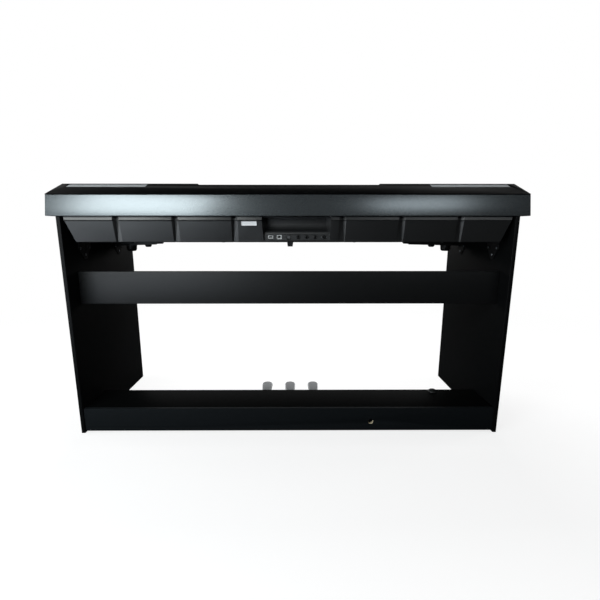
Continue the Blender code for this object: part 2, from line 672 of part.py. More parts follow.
def add_hood():
    """A moulded shell with closed ends, the music rest groove in its ridge and openings in both slopes."""
    outer = hood_profile()
    inner = offset_line(outer[1:], HOOD_WALL)
    rise = (inner[1][1] - inner[0][1]) / (inner[1][0] - inner[0][0])
    inner[0] = (inner[0][0] + (HOOD_LOW - inner[0][1]) / rise, HOOD_LOW)
    inner[-1] = (inner[-1][0], HOOD_LOW)
    half_inner = HALF - HOOD_WALL

    shape = bmesh.new()
    skins = []
    for points, half in ((outer, HALF), (inner, half_inner)):
        left = [shape.verts.new((-half, *point)) for point in points]
        right = [shape.verts.new((half, *point)) for point in points]
        for here in range(len(points) - 1):
            shape.faces.new((left[here], left[here + 1], right[here + 1], right[here]))
        shape.faces.new(left)
        shape.faces.new(right)
        skins.append((left, right))
    (outer_left, outer_right), (inner_left, inner_right) = skins
    shape.faces.new((outer_left[0], outer_right[0], inner_right[0], inner_left[0]))
    shape.faces.new((outer_left[-1], outer_right[-1], inner_right[-1], inner_left[-1]))
    shape.faces.new((outer_left[0], outer_left[-1], inner_left[-1], inner_left[0]))
    shape.faces.new((outer_right[0], outer_right[-1], inner_right[-1], inner_right[0]))

    strip_low = KEY_TOP + BLACK_HEIGHT + 0.006
    strip_half = PANEL_INNER - FIT_GAP
    strip = block(
        (-strip_half, FALL + 0.0007, strip_low),
        (strip_half, FALL + 0.0007 + FALL_STRIP_THICKNESS, HOOD_LOW + 0.004),
    )
    shape = join(shape, strip)

    half_groove = REST_GROOVE_LENGTH / 2
    groove_rear = RIDGE_REAR + REST_GROOVE_BEHIND_RIDGE
    groove_front = RIDGE_REAR - REST_GROOVE_AHEAD
    groove_floor = RIDGE_HIGH - REST_GROOVE_DEPTH
    rear_fall = HOOD_RISE / RIDGE_SETBACK
    front_fall = (RIDGE_HIGH - NOSE_HIGH) / (RIDGE_FRONT - FALL - HOOD_NOSE)
    wall = HOOD_WALL
    skin = wall / 2
    channel = [
        (groove_rear + wall, groove_floor - wall),
        (groove_rear + wall, RIDGE_HIGH - (REST_GROOVE_BEHIND_RIDGE + wall) * rear_fall - skin),
        (RIDGE_REAR, RIDGE_HIGH - skin),
        (RIDGE_FRONT, RIDGE_HIGH - skin),
        (groove_front - wall, RIDGE_HIGH - (RIDGE_FRONT - groove_front + wall) * front_fall - skin),
        (groove_front - wall, groove_floor - wall),
    ]
    shape = join(shape, extrude(channel, "X", -half_groove - wall, half_groove + wall))
    groove_low = (-half_groove, groove_front, groove_floor)
    groove = block(groove_low, (half_groove, groove_rear, RIDGE_HIGH + 0.01))
    shape = cut(shape, groove)

    for side in (-1, 1):
        middle = side * (HALF - GRILLE_END_SETBACK - GRILLE_LENGTH / 2)
        for grow, deep in ((FIT_GAP, GRILLE_LEDGE), (-GRILLE_LEDGE, 0.02)):
            half_x = GRILLE_LENGTH / 2 + grow
            half_y = GRILLE_WIDTH / 2 + grow
            opening = block(
                (middle - half_x, GRILLE_UP_SLOPE - half_y, -deep),
                (middle + half_x, GRILLE_UP_SLOPE + half_y, 0.01),
            )
            shape = cut(shape, moved(opening, REAR_SLOPE))

    for grow, deep in ((FIT_GAP, CONTROL_THICKNESS + FIT_GAP), (-CONTROL_LEDGE, 0.02)):
        half_x = CONTROL_LENGTH / 2 + grow
        half_y = CONTROL_WIDTH / 2 + grow
        opening = block(
            (-half_x, CONTROL_UP_SLOPE - half_y, -deep), (half_x, CONTROL_UP_SLOPE + half_y, 0.01)
        )
        shape = cut(shape, moved(opening, FRONT_SLOPE))
    piece("hood", shape, "hood")


def add_speakers():
    """Slotted grilles let into the rear slope, and oval loudspeakers fixed against its inner face."""
    for side, hand in ((-1, "left"), (1, "right")):
        middle = side * (HALF - GRILLE_END_SETBACK - GRILLE_LENGTH / 2)
        half_x = GRILLE_LENGTH / 2
        half_y = GRILLE_WIDTH / 2
        low = -GRILLE_LEDGE + FIT_GAP
        plate = block((-half_x, -half_y, low), (half_x, half_y, low + GRILLE_THICKNESS))
        pitch = (GRILLE_LENGTH - 0.012) / GRILLE_SLOTS
        slots = bmesh.new()
        for count in range(GRILLE_SLOTS):
            start = -half_x + 0.006 + count * pitch + pitch * 0.25
            corners = bmesh.ops.create_cube(slots, size=1.0)["verts"]
            for vert in corners:
                vert.co = Vector((
                    start + (pitch * 0.5 if vert.co.x > 0 else 0.0),
                    vert.co.y * (GRILLE_WIDTH - 0.008),
                    vert.co.z * 0.02,
                ))
        plate = cut(plate, slots)
        place = Matrix.Translation((-middle, GRILLE_UP_SLOPE, 0))
        piece(f"speaker_grille_{hand}", moved(plate, REAR_SLOPE @ place), "grille")

        radius = SPEAKER_WIDTH / 2
        top = -HOOD_WALL - FIT_GAP
        driver = turned(
            [
                (0.0, top - 0.009),
                (radius * 0.30, top - 0.011),
                (radius * 0.78, top - 0.002),
                (radius * 0.86, top),
                (radius, top),
                (radius, top - 0.003),
                (radius * 0.86, top - 0.004),
                (radius * 0.48, top - SPEAKER_DEPTH * 0.55),
                (radius * 0.48, top - SPEAKER_DEPTH),
                (0.0, top - SPEAKER_DEPTH),
            ],
            24,
        )
        place = Matrix.Translation((-middle, SPEAKER_UP_SLOPE, 0))
        stretch = Matrix.Diagonal((SPEAKER_LENGTH / SPEAKER_WIDTH, 1.0, 1.0, 1.0))
        piece(f"speaker_{hand}", moved(driver, REAR_SLOPE @ place @ stretch), "cone", smooth=True)


def control_places():
    """Buttons on the control panel, with their places along it and up its slope."""
    return (
        ("voice_button", 0.062),
        ("minus_button", 0.090),
        ("plus_button", 0.112),
        ("power_button", 0.188),
    )


def add_controls():
    """An insert in the front slope with a display, buttons that press in and a volume knob that turns."""
    half_x = CONTROL_LENGTH / 2
    half_y = CONTROL_WIDTH / 2
    place = FRONT_SLOPE @ Matrix.Translation((0, CONTROL_UP_SLOPE, 0))
    panel = block((-half_x, -half_y, -CONTROL_THICKNESS), (half_x, half_y, 0.0))
    clear = BUTTON_CLEARANCE
    for _, middle in control_places():
        hole = block(
            (middle - BUTTON_WIDTH / 2 - clear, -BUTTON_HEIGHT / 2 - clear, -0.01),
            (middle + BUTTON_WIDTH / 2 + clear, BUTTON_HEIGHT / 2 + clear, 0.01),
        )
        panel = cut(panel, hole)
    window_x = DISPLAY_LENGTH / 2
    window_y = DISPLAY_WIDTH / 2
    panel = cut(panel, block((-window_x, -window_y, -0.01), (window_x, window_y, 0.01)))
    knob_x = -0.150
    panel = cut(panel, rod("Z", (knob_x, 0), 0.0036, -0.01, 0.01, 16))
    piece("control_panel", moved(panel, place), "control")

    lens_x = window_x - FIT_GAP
    lens_y = window_y - FIT_GAP
    lens = block((-lens_x, -lens_y, -0.0045), (lens_x, lens_y, -0.0004))
    piece("display_window", moved(lens, place), "display")

    for name, middle in control_places():
        cap = block(
            (-BUTTON_WIDTH / 2, -BUTTON_HEIGHT / 2, -CONTROL_THICKNESS - 0.0004),
            (BUTTON_WIDTH / 2, BUTTON_HEIGHT / 2, BUTTON_PROUD),
        )
        tops = [edge for edge in cap.edges if min(vert.co.z for vert in edge.verts) > 0]
        round_edges(cap, tops, 0.0008, 2)
        flange = block(
            (-BUTTON_WIDTH / 2 - 0.0015, -BUTTON_HEIGHT / 2 - 0.0015, -CONTROL_THICKNESS - 0.0018),
            (BUTTON_WIDTH / 2 + 0.0015, BUTTON_HEIGHT / 2 + 0.0015, -CONTROL_THICKNESS - FIT_GAP),
        )
        button = piece(name, join(cap, flange), "button")
        button.matrix_world = place @ Matrix.Translation((middle, 0, 0))

    grip = turned(
        [
            (0.0, KNOB_HEIGHT),
            (KNOB_RADIUS * 0.84, KNOB_HEIGHT),
            (KNOB_RADIUS * 0.92, KNOB_HEIGHT - 0.001),
            (KNOB_RADIUS, 0.0008),
            (0.0032, 0.0008),
            (0.0032, -0.008),
            (0.0, -0.008),
        ],
        24,
    )
    knob = piece("volume_knob", grip, "button", smooth=True)
    knob.matrix_world = place @ Matrix.Translation((knob_x, 0, 0))


def case_ring(level, face, half_x, wall):
    """One level of the lower case from above: a straight front, tapered ends and a grooved rear wall."""
    blend = (level - CASE_LOW) / CASE_DROP
    depth = GROOVE_DEPTH_LOW + (GROOVE_DEPTH_TOP - GROOVE_DEPTH_LOW) * blend
    shift = GROOVE_SHIFT_LOW + (GROOVE_SHIFT_TOP - GROOVE_SHIFT_LOW) * blend
    spread = GROOVE_WIDTH / 2 + wall * 0.7
    front = CASE_FRONT + wall
    ring = [(-half_x, front), (-half_x, face)]
    for middle in sorted([-place for place in GROOVE_PLACES] + list(GROOVE_PLACES)):
        apex = middle + math.copysign(shift, middle)
        ring += [(middle - spread, face), (apex, face - depth), (middle + spread, face)]
    ring += [(half_x, face), (half_x, front)]
    return [(x, y, level) for x, y in ring]


def add_lower_case():
    """The moulded case under the cabinet: grooved rear wall, tapered ends and a scooped jack recess."""
    wall = CASE_WALL
    top_half = PANEL_INNER - CASE_SIDE_GAP
    lip_low = CASE_HIGH - LIP_HEIGHT
    rear_wall = CASE_FACE + LIP_FLARE - LIP_STEP
    rear_low = rear_wall - CASE_LEAN
    levels = (
        (CASE_HIGH, CASE_FACE),
        (lip_low, CASE_FACE + LIP_FLARE),
        (lip_low - 0.0008, rear_wall),
        (CASE_LOW + 0.002, rear_low),
        (CASE_LOW, rear_low - 0.002),
    )

    def half_at(level):
        return top_half - CASE_END_TAPER * (CASE_HIGH - level) / CASE_DROP

    outer = [case_ring(level, face, half_at(level), 0.0) for level, face in levels]
    inner = [
        case_ring(level, face - wall, half_at(level) - wall, wall)
        for level, face in (levels[0], (lip_low, rear_wall), (CASE_FLOOR, rear_low))
    ]
    shape = tub(outer, inner)
    front_high = KEY_BOTTOM - 0.0135
    shape = cut(shape, block((-HALF, FRONT, front_high), (HALF, CASE_FRONT + 0.016, BAND_HIGH)))

    floor = CASE_LOW + RECESS_FLOOR
    back = rear_wall - RECESS_DEPTH
    ceiling = CASE_HIGH - wall
    scoop = (back + SCOOP_RADIUS, floor + JACK_FACE_HEIGHT + SCOOP_RADIUS)
    housing = [
        (back - wall, CASE_LOW + 0.0012),
        (rear_low - wall / 2, CASE_LOW + 0.0012),
        (rear_wall - wall / 2, CASE_HIGH - 0.001),
        (back - wall, CASE_HIGH - 0.001),
    ]
    shape = join(shape, extrude(housing, "X", RECESS_LEFT - wall, RECESS_RIGHT + wall))

    under_board = REAR - REAR_BOARD_THICKNESS
    recess_profile = [
        (REAR + 0.02, floor),
        (REAR + 0.02, CASE_HIGH + 0.01),
        (under_board, CASE_HIGH + 0.01),
        (under_board, ceiling),
        (back, ceiling),
        *arc(scoop, SCOOP_RADIUS, 180, 255, 5),
        (JACK_FACE, floor + JACK_FACE_HEIGHT),
        (JACK_FACE, floor),
    ]
    recess = extrude(recess_profile, "X", RECESS_LEFT, RECESS_RIGHT)
    for vert in recess.verts:
        inset = (rear_wall - vert.co.y) * RECESS_DRAFT
        vert.co.x += inset if vert.co.x < 0 else -inset

    chamber_profile = [
        (back - 0.02, CASE_FLOOR),
        (JACK_FACE - wall, CASE_FLOOR),
        (JACK_FACE - wall, floor + JACK_FACE_HEIGHT - wall),
        *arc(scoop, SCOOP_RADIUS + wall, 252, 186, 4),
        (back - 0.02, scoop[1] - 0.004),
    ]
    chamber = extrude(chamber_profile, "X", RECESS_LEFT + wall, RECESS_RIGHT - wall)
    shape = cut(shape, recess, chamber)

    axis = CASE_LOW + SOCKET_AXIS_HEIGHT
    for kind, place, width, height in SOCKETS:
        low, high = JACK_FACE - wall - 0.002, JACK_FACE + 0.002
        if kind == "box":
            half_x = width / 2 + FIT_GAP
            half_z = height / 2 + FIT_GAP
            hole = block((place - half_x, low, axis - half_z), (place + half_x, high, axis + half_z))
        else:
            hole = rod("Y", (place, axis), width / 2 + FIT_GAP, low, high, 16)
        shape = cut(shape, hole)

    foot = [(-0.0095, 0.0), (-0.0075, -0.015), (0.0075, -0.015), (0.0095, 0.0)]
    foot = [(x - 0.004, CASE_LOW + z + 0.001) for x, z in foot]
    shape = join(shape, extrude(foot, "Y", JACK_FACE - 0.050, JACK_FACE - 0.030))

    for side, hand in ((-1, "left"), (1, "right")):
        centre = (side * (PANEL_INNER - CLAMP_INSET[hand]), REAR - FRONT_BRACKET_SETBACK)
        boss = rod("Z", centre, 0.009, CASE_LOW + 0.0005, CASE_FLOOR + CLAMP_BITE, 16)
        bore_high = CASE_LOW + CLAMP_BITE + 0.001
        bore = rod("Z", centre, CLAMP_SHANK + CLAMP_CLEARANCE, CASE_LOW - 0.01, bore_high, 16)
        shape = cut(join(shape, boss), bore)
    piece("lower_case", shape, "case")


def add_main_board():
    """Circuit board behind the jack face, with its sockets on it and stand-offs down to the case floor."""
    rear = JACK_FACE - CASE_WALL - FIT_GAP
    axis = CASE_LOW + SOCKET_AXIS_HEIGHT
    tallest = max(height if kind == "box" else width for kind, _, width, height in SOCKETS)
    top = axis - tallest / 2 + 0.0002
    low = top - BOARD_THICKNESS
    left = min(place for _, place, _, _ in SOCKETS) - 0.012
    right = max(place for _, place, _, _ in SOCKETS) + 0.012
    board = block((left, rear - BOARD_DEPTH, low), (right, rear - 0.0005, top))
    for x in (left + 0.006, right - 0.006):
        for y in (rear - BOARD_DEPTH + 0.006, rear - 0.007):
            board = join(board, rod("Z", (x, y), 0.003, CASE_FLOOR + FIT_GAP, low + 0.0005, 12))
    face = JACK_FACE + SOCKET_PROUD
    for kind, place, width, height in SOCKETS:
        half_x = width / 2
        half_z = height / 2 if kind == "box" else half_x
        body = block(
            (place - half_x - 0.001, rear - SOCKET_LENGTH, low + 0.0005),
            (place + half_x + 0.001, rear, axis + half_z),
        )
        if kind == "box":
            snout_low = (place - half_x, rear - 0.002, axis - half_z)
            snout = block(snout_low, (place + half_x, face, axis + half_z))
            mouth = block(
                (place - half_x + 0.0015, face - 0.010, axis - half_z + 0.0015),
                (place + half_x - 0.0015, face + 0.01, axis + half_z - 0.0015),
            )
        else:
            snout = rod("Y", (place, axis), half_x, rear - 0.002, face, 16)
            mouth = rod("Y", (place, axis), height, face - 0.015, face + 0.01, 16)
        board = cut(join(board, body, snout), mouth)
    piece("main_board", board, "board")


def add_key_chassis():
    """A long moulded channel that the keys rest over, with a front shelf and a rear ledge for the combs."""
    half = PANEL_INNER - CASE_SIDE_GAP - CASE_END_TAPER - CASE_WALL - 0.004
    shelf = KEY_BOTTOM - 0.0112
    ledge = KEY_BOTTOM + 0.0005 - 0.0006
    low = CASE_FLOOR + FIT_GAP
    wall = 0.003
    hinge = TAIL_END + HINGE_WEB
    outer = [
        (KEY_FRONT + 0.004, low),
        (KEY_FRONT + 0.004, shelf),
        (KEY_FRONT + 0.060, shelf),
        (KEY_FRONT + 0.066, shelf - 0.010),
        (TAIL_END - 0.010, shelf - 0.010),
        (hinge, ledge),
        (hinge + COMB_RAIL + 0.004, ledge),
        (hinge + COMB_RAIL + 0.004, low),
    ]
    inner = offset_line(outer, -wall)
    inner[0] = (inner[0][0], low)
    inner[-1] = (inner[-1][0], low)
    profile = outer + list(reversed(inner))
    chassis = extrude(profile, "X", -half, half)
    piece("key_chassis", chassis, "chassis")


def key_outline(left, right, tail_left, tail_right, inset):
    """Plan of a white key: a full-width head, then a narrower tail. The inset draws it all inwards."""
    front = KEY_FRONT + inset
    shoulder = KEY_FRONT + WHITE_HEAD
    rear = TAIL_END - inset
    points = [(left + inset, front), (right - inset, front)]
    if tail_right < right - 1e-6:
        points += [(right - inset, shoulder - inset), (tail_right - inset, shoulder - inset)]
    points.append((tail_right - inset, rear))
    points.append((tail_left + inset, rear))
    if tail_left > left + 1e-6:
        points += [(tail_left + inset, shoulder - inset), (left + inset, shoulder - inset)]
    return points


def white_key(left, right, tail_left, tail_right):
    """A moulded white key, open underneath."""
    outer = key_outline(left, right, tail_left, tail_right, 0.0)
    inner = key_outline(left, right, tail_left, tail_right, WHITE_WALL)
    ceiling = KEY_TOP - WHITE_WALL
    return tub(
        [[(x, y, KEY_BOTTOM) for x, y in outer], [(x, y, KEY_TOP) for x, y in outer]],
        [[(x, y, KEY_BOTTOM) for x, y in inner], [(x, y, ceiling) for x, y in inner]],
    )


def black_key(middle):
    """A moulded black key: sloped front, tapered sides, open underneath."""
    top = KEY_TOP + BLACK_HEIGHT
    bottom = top - BLACK_HEIGHT - BLACK_SKIRT
    front = KEY_FRONT + WHITE_HEAD + KEY_GAP
    wall = WHITE_WALL * 0.8

    def ring(half, start, level, inset):
        rear = TAIL_END - inset
        return [
            (middle - half + inset, start + inset, level),
            (middle + half - inset, start + inset, level),
            (middle + half - inset, rear, level),
            (middle - half + inset, rear, level),
        ]

    low = BLACK_WIDTH / 2
    high = BLACK_TOP_WIDTH / 2
    outer = [
        ring(low, front, bottom, 0),
        ring(low, front, KEY_TOP, 0),
        ring(high, front + BLACK_SLOPE, top, 0),
    ]
    inner = [
        ring(low, front, bottom, wall),
        ring(low, front, KEY_TOP, wall),
        ring(high, front + BLACK_SLOPE, top - wall, wall),
    ]
    return tub(outer, inner)


def comb(name, keys, teeth, rail_low, finish):
    """Keys on one moulded rail, which bends at its thin web. The piece turns about the rail's middle."""
    hinge = TAIL_END + HINGE_WEB
    tooth = 0.004
    left, right = min(teeth) - tooth, max(teeth) + tooth
    outline = [(right, hinge), (right, hinge + COMB_RAIL), (left, hinge + COMB_RAIL), (left, hinge)]
    for middle in sorted(teeth):
        near = [(middle - tooth, hinge), (middle - tooth, TAIL_END - 0.001)]
        far = [(middle + tooth, TAIL_END - 0.001), (middle + tooth, hinge)]
        outline += near + far
    tidy = []
    for point in outline:
        if point not in tidy:
            tidy.append(point)
    rail = extrude(tidy, "Z", rail_low, rail_low + COMB_THICKNESS)
    together = bmesh.new()
    for key in keys:
        mesh = bpy.data.meshes.new("key")
        key.to_mesh(mesh)
        key.free()
        together.from_mesh(mesh)
        bpy.data.meshes.remove(mesh)
    shape = join(together, rail)
    pivot = ((left + right) / 2, hinge + COMB_RAIL / 2, rail_low + COMB_THICKNESS / 2)
    piece(name, shape, finish, pivot=pivot)


def add_keys():
    """All 88 keys, octave by octave: two combs of white keys and one of black keys in each."""
    rail_low = KEY_BOTTOM + 0.0005
    levels = [rail_low + count * (COMB_THICKNESS + COMB_GAP) for count in range(3)]
    low_group = 3 * PITCH / 5
    high_group = 4 * PITCH / 7
    lanes = [count * low_group for count in range(5)]
    lanes += [3 * PITCH + count * high_group for count in range(8)]
    white_lanes = (0, 2, 4, 5, 7, 9, 11)
    black_lanes = (1, 3, 6, 8, 10)
    first_octave = -KEYS_HALF + 2 * PITCH
    half_gap = KEY_GAP / 2

    def white(start, count, closed_left=False, closed_right=False):
        left = start + count * PITCH + half_gap
        right = start + (count + 1) * PITCH - half_gap
        lane = white_lanes[count]
        tail_left = left if closed_left or count in (0, 3) else start + lanes[lane] + half_gap
        tail_right = right if closed_right or count in (2, 6) else start + lanes[lane + 1] - half_gap
        return white_key(left, right, tail_left, tail_right), (tail_left + tail_right) / 2

    def black_middle(start, lane):
        return start + (lanes[lane] + lanes[lane + 1]) / 2

    def add_comb(name, made, level, finish):
        keys = [key for key, _ in made]
        teeth = [middle for _, middle in made]
        comb(name, keys, teeth, level, finish)

    lowest = first_octave - OCTAVE
    pair = [white(lowest, 5, closed_left=True), white(lowest, 6)]
    add_comb("lowest_white_keys", pair, levels[0], "white_key")
    middle = black_middle(lowest, 10)
    add_comb("lowest_black_key", [(black_key(middle), middle)], levels[1], "black_key")
    for octave in range(7):
        start = first_octave + octave * OCTAVE
        label = f"octave_{octave + 1}"
        four = [white(start, count) for count in (0, 2, 4, 6)]
        add_comb(f"{label}_white_keys_CEGB", four, levels[0], "white_key")
        three = [white(start, count) for count in (1, 3, 5)]
        add_comb(f"{label}_white_keys_DFA", three, levels[1], "white_key")
        middles = [black_middle(start, lane) for lane in black_lanes]
        black = [(black_key(place), place) for place in middles]
        add_comb(f"{label}_black_keys", black, levels[2], "black_key")
    last = first_octave + 7 * OCTAVE
    add_comb("highest_white_key", [white(last, 0, closed_right=True)], levels[0], "white_key")


clear_scene()
add_side_panels()
add_rear_brace()
add_pedal_box()
add_pedals()
add_brackets()
add_cabinet_band()
add_hood()
add_speakers()
add_controls()
add_lower_case()
add_main_board()
add_key_chassis()
add_keys()
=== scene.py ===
"""A digital piano on its panel stand, seen from behind in a plain studio.

Metres, +Z up. The player sits at -Y and the rear of the piano is at +Y.
"""

import json
import math

import bmesh
import bpy
from mathutils import Matrix, Vector

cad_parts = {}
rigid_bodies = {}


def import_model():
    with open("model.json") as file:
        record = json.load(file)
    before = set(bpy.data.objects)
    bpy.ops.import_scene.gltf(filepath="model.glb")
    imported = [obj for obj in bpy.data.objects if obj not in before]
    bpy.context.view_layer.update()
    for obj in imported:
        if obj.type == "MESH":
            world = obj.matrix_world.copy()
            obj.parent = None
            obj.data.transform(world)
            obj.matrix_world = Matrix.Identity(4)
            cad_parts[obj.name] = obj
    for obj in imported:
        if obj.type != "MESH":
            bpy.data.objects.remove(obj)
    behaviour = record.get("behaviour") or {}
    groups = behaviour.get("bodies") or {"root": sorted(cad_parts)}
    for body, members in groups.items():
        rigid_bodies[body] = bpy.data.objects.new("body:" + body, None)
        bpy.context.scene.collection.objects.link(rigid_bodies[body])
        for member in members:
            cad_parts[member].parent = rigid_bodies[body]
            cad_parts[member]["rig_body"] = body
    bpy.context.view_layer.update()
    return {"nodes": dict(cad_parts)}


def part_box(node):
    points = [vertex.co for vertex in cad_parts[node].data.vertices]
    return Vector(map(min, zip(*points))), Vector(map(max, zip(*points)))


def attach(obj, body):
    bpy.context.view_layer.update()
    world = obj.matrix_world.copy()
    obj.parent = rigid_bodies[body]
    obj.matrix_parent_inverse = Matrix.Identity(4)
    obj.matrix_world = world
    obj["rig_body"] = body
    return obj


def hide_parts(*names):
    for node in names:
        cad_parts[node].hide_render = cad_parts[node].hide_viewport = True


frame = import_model()


# Camera
# It stands behind the piano, just below the keys' height and off the middle, and looks down at the brace.
# The lens is a wide one, which spreads the near rear board far past the panels' feet.
EYE = (-0.01806, 1.31616, 0.64518)
LENS = 22.292
LOOK_DOWN = 11.153
TURN = 179.758

camera = bpy.data.objects.new("camera", bpy.data.cameras.new("camera"))
bpy.context.scene.collection.objects.link(camera)
bpy.context.scene.camera = camera
camera.location = EYE
camera.rotation_euler = (math.radians(90 - LOOK_DOWN), 0, math.radians(TURN))
camera.data.sensor_width = 36
camera.data.lens = LENS
camera.data.shift_x = 0.0060
camera.data.shift_y = 0.0011
bpy.context.scene.view_settings.view_transform = "Standard"


# Studio
# A white floor and a white backdrop. Soft boxes stand left of the camera, high and low, and a weaker one right
# of it, and their reflections run along the rear board and the brace. Wide ones light the other sides.
# The floor takes the piano's shadow, and under the pedal box its white lift is turned off, a painted shade.
FLOOR_RADIUS = 9.0
FLOOR_GREY = "#8f8f8f"
FLOOR_BOUNCE = "#3c3c3c"
# The outline under the pedal box where the floor's lift is turned off, as painted shade.
UNDER_BOX_MIDDLE = 0.157
UNDER_BOX_HALF_X = 0.655
UNDER_BOX_HALF_Y = 0.060
SHADOW_INNER = 1.1
SHADOW_OUTER = 2.6


def linear(code):
    """A colour written as an sRGB hex code, in the linear values that a shader takes."""
    parts = [int(code[place:place + 2], 16) / 255 for place in (1, 3, 5)]
    return [part / 12.92 if part <= 0.04045 else ((part + 0.055) / 1.055) ** 2.4 for part in parts] + [1.0]


def add_node(tree, kind, inputs=(), **settings):
    """Adds a shader node with its settings. Its inputs take numbers, colours or other nodes' outputs."""
    made = tree.nodes.new("ShaderNode" + kind)
    for name, value in settings.items():
        setattr(made, name, value)
    for name, value in dict(inputs).items():
        if isinstance(value, bpy.types.NodeSocket):
            tree.links.new(value, made.inputs[name])
        else:
            made.inputs[name].default_value = value
    return made


def new_material(name):
    """A material with its nodes cleared, and its tree."""
    made = bpy.data.materials.new(name)
    made.use_nodes = True
    made.node_tree.nodes.clear()
    return made, made.node_tree


world = bpy.data.worlds.new("studio")
bpy.context.scene.world = world
world.use_nodes = True
sky = world.node_tree
sky.nodes.clear()
rays = add_node(sky, "LightPath")
heading = add_node(sky, "SeparateXYZ", {"Vector": add_node(sky, "TexCoord").outputs["Generated"]})
behind = add_node(sky, "MapRange", {"Value": heading.outputs["Y"], "From Min": 0.1, "From Max": -0.4})
above_floor = add_node(sky, "MapRange", {"Value": heading.outputs["Z"], "From Min": 0.04, "From Max": 0.14})
below_top = add_node(sky, "MapRange", {"Value": heading.outputs["Z"], "From Min": 0.52, "From Max": 0.43})
wall = add_node(sky, "Math", {0: above_floor.outputs[0], 1: below_top.outputs[0]}, operation="MULTIPLY")
wall = add_node(sky, "Math", {0: behind.outputs[0], 1: wall.outputs[0]}, operation="MULTIPLY")
wall = add_node(sky, "Math", {0: rays.outputs["Is Glossy Ray"], 1: wall.outputs[0]}, operation="MULTIPLY")
seen = add_node(sky, "Math", {0: rays.outputs["Is Camera Ray"], 1: wall.outputs[0]}, operation="MAXIMUM")
through = rays.outputs["Is Transmission Ray"]
seen = add_node(sky, "Math", {0: seen.outputs[0], 1: through}, operation="MAXIMUM")
backdrop = add_node(sky, "Background", {"Color": (1.0, 1.0, 1.0, 1.0), "Strength": 1.0})
room = add_node(sky, "Background", {"Color": linear("#f4f7fa"), "Strength": 0.02})
sky_mix = add_node(sky, "MixShader", {0: seen.outputs[0], 1: room.outputs[0], 2: backdrop.outputs[0]})
add_node(sky, "OutputWorld", {"Surface": sky_mix.outputs[0]})

bpy.ops.object.select_all(action="DESELECT")
bpy.ops.mesh.primitive_circle_add(vertices=64, radius=FLOOR_RADIUS, fill_type="NGON", location=(0, 0, -0.0005))
floor = bpy.context.active_object
floor.name = "floor"
floor_finish, tree = new_material("white studio floor")
rays = add_node(tree, "LightPath")
reach = add_node(tree, "VectorMath", {0: add_node(tree, "TexCoord").outputs["Object"]}, operation="LENGTH")
far = add_node(
    tree, "MapRange", {"Value": reach.outputs["Value"], "From Min": SHADOW_INNER, "From Max": SHADOW_OUTER},
    interpolation_type="SMOOTHSTEP",
)
matt = add_node(tree, "BsdfDiffuse", {"Color": linear(FLOOR_GREY)})
grey = add_node(tree, "BsdfDiffuse", {"Color": linear(FLOOR_BOUNCE)})
# Inside the pedal box's outline the floor's white lift falls to nothing: painted shade under the box.
ground = add_node(tree, "SeparateXYZ", {"Vector": add_node(tree, "TexCoord").outputs["Object"]})
aside = add_node(tree, "Math", {0: ground.outputs["X"]}, operation="ABSOLUTE")
ahead = add_node(tree, "Math", {0: ground.outputs["Y"], 1: -UNDER_BOX_MIDDLE}, operation="ADD")
ahead = add_node(tree, "Math", {0: ahead.outputs[0]}, operation="ABSOLUTE")
aside = add_node(
    tree, "MapRange", {"Value": aside.outputs[0], "From Min": UNDER_BOX_HALF_X - 0.01, "From Max": UNDER_BOX_HALF_X},
)
ahead = add_node(
    tree, "MapRange", {"Value": ahead.outputs[0], "From Min": UNDER_BOX_HALF_Y - 0.01, "From Max": UNDER_BOX_HALF_Y},
)
clear = add_node(tree, "Math", {0: aside.outputs[0], 1: ahead.outputs[0]}, operation="MAXIMUM")
lit = add_node(tree, "Math", {0: clear.outputs[0], 1: 0.78}, operation="MULTIPLY")
lift = add_node(tree, "Emission", {"Color": (1.0, 1.0, 1.0, 1.0), "Strength": lit.outputs[0]})
lifted = add_node(tree, "AddShader", {0: matt.outputs[0], 1: lift.outputs[0]})
white = add_node(tree, "Emission", {"Color": (1.0, 1.0, 1.0, 1.0), "Strength": 1.0})
shown = add_node(tree, "MixShader", {0: far.outputs["Result"], 1: lifted.outputs[0], 2: white.outputs[0]})
told = add_node(
    tree, "MixShader", {0: rays.outputs["Is Camera Ray"], 1: grey.outputs[0], 2: shown.outputs[0]},
)
add_node(tree, "OutputMaterial", {"Surface": told.outputs[0]})
floor.data.materials.append(floor_finish)

for name, place, aim, size, watts, tint, mirrored in (
    ("key_soft_box", (1.02, 1.243, 1.18), (0.46, 0.20, 0.64), (0.88, 0.68), 14.5, "#f9ffff", True),
    ("low_soft_box", (0.95, 1.243, 0.45), (0.45, 0.20, 0.62), (1.05, 0.48), 4.6, "#dfeaf6", True),
    ("left_soft_box", (1.80, 0.85, 0.30), (0.35, 0.22, 0.64), (1.00, 0.50), 5.0, "#f4faff", True),
    ("side_soft_box", (-0.90, 1.265, 1.19), (-0.45, 0.22, 0.66), (0.60, 0.40), 2.1, "#f6fcff", True),
    ("hood_soft_box", (-1.16, -1.09, 1.82), (-0.45, 0.18, 0.75), (0.50, 0.50), 0.2, "#ffffff", True),
    ("rear_fill", (0.3, 3.2, 1.3), (0.0, 0.2, 0.5), (2.4, 1.6), 10.0, "#ffffff", False),
    ("player_fill", (0.0, -1.4, 2.6), (0.0, -0.1, 0.6), (1.8, 1.2), 60.0, "#ffffff", False),
    ("left_fill", (3.2, -0.3, 1.3), (0.6, 0.0, 0.5), (1.4, 1.4), 30.0, "#ffffff", False),
    ("right_fill", (-3.2, -0.3, 1.3), (-0.6, 0.0, 0.5), (1.4, 1.4), 30.0, "#ffffff", False),
):
    lamp = bpy.data.objects.new(name, bpy.data.lights.new(name, "AREA"))
    bpy.context.scene.collection.objects.link(lamp)
    lamp.data.shape = "RECTANGLE"
    lamp.data.size, lamp.data.size_y = size
    lamp.data.energy = watts
    lamp.data.color = linear(tint)[:3]
    lamp.location = place
    lamp.rotation_euler = (Vector(aim) - Vector(place)).to_track_quat("-Z", "Y").to_euler()
    lamp.visible_camera = False
    lamp.visible_glossy = mirrored


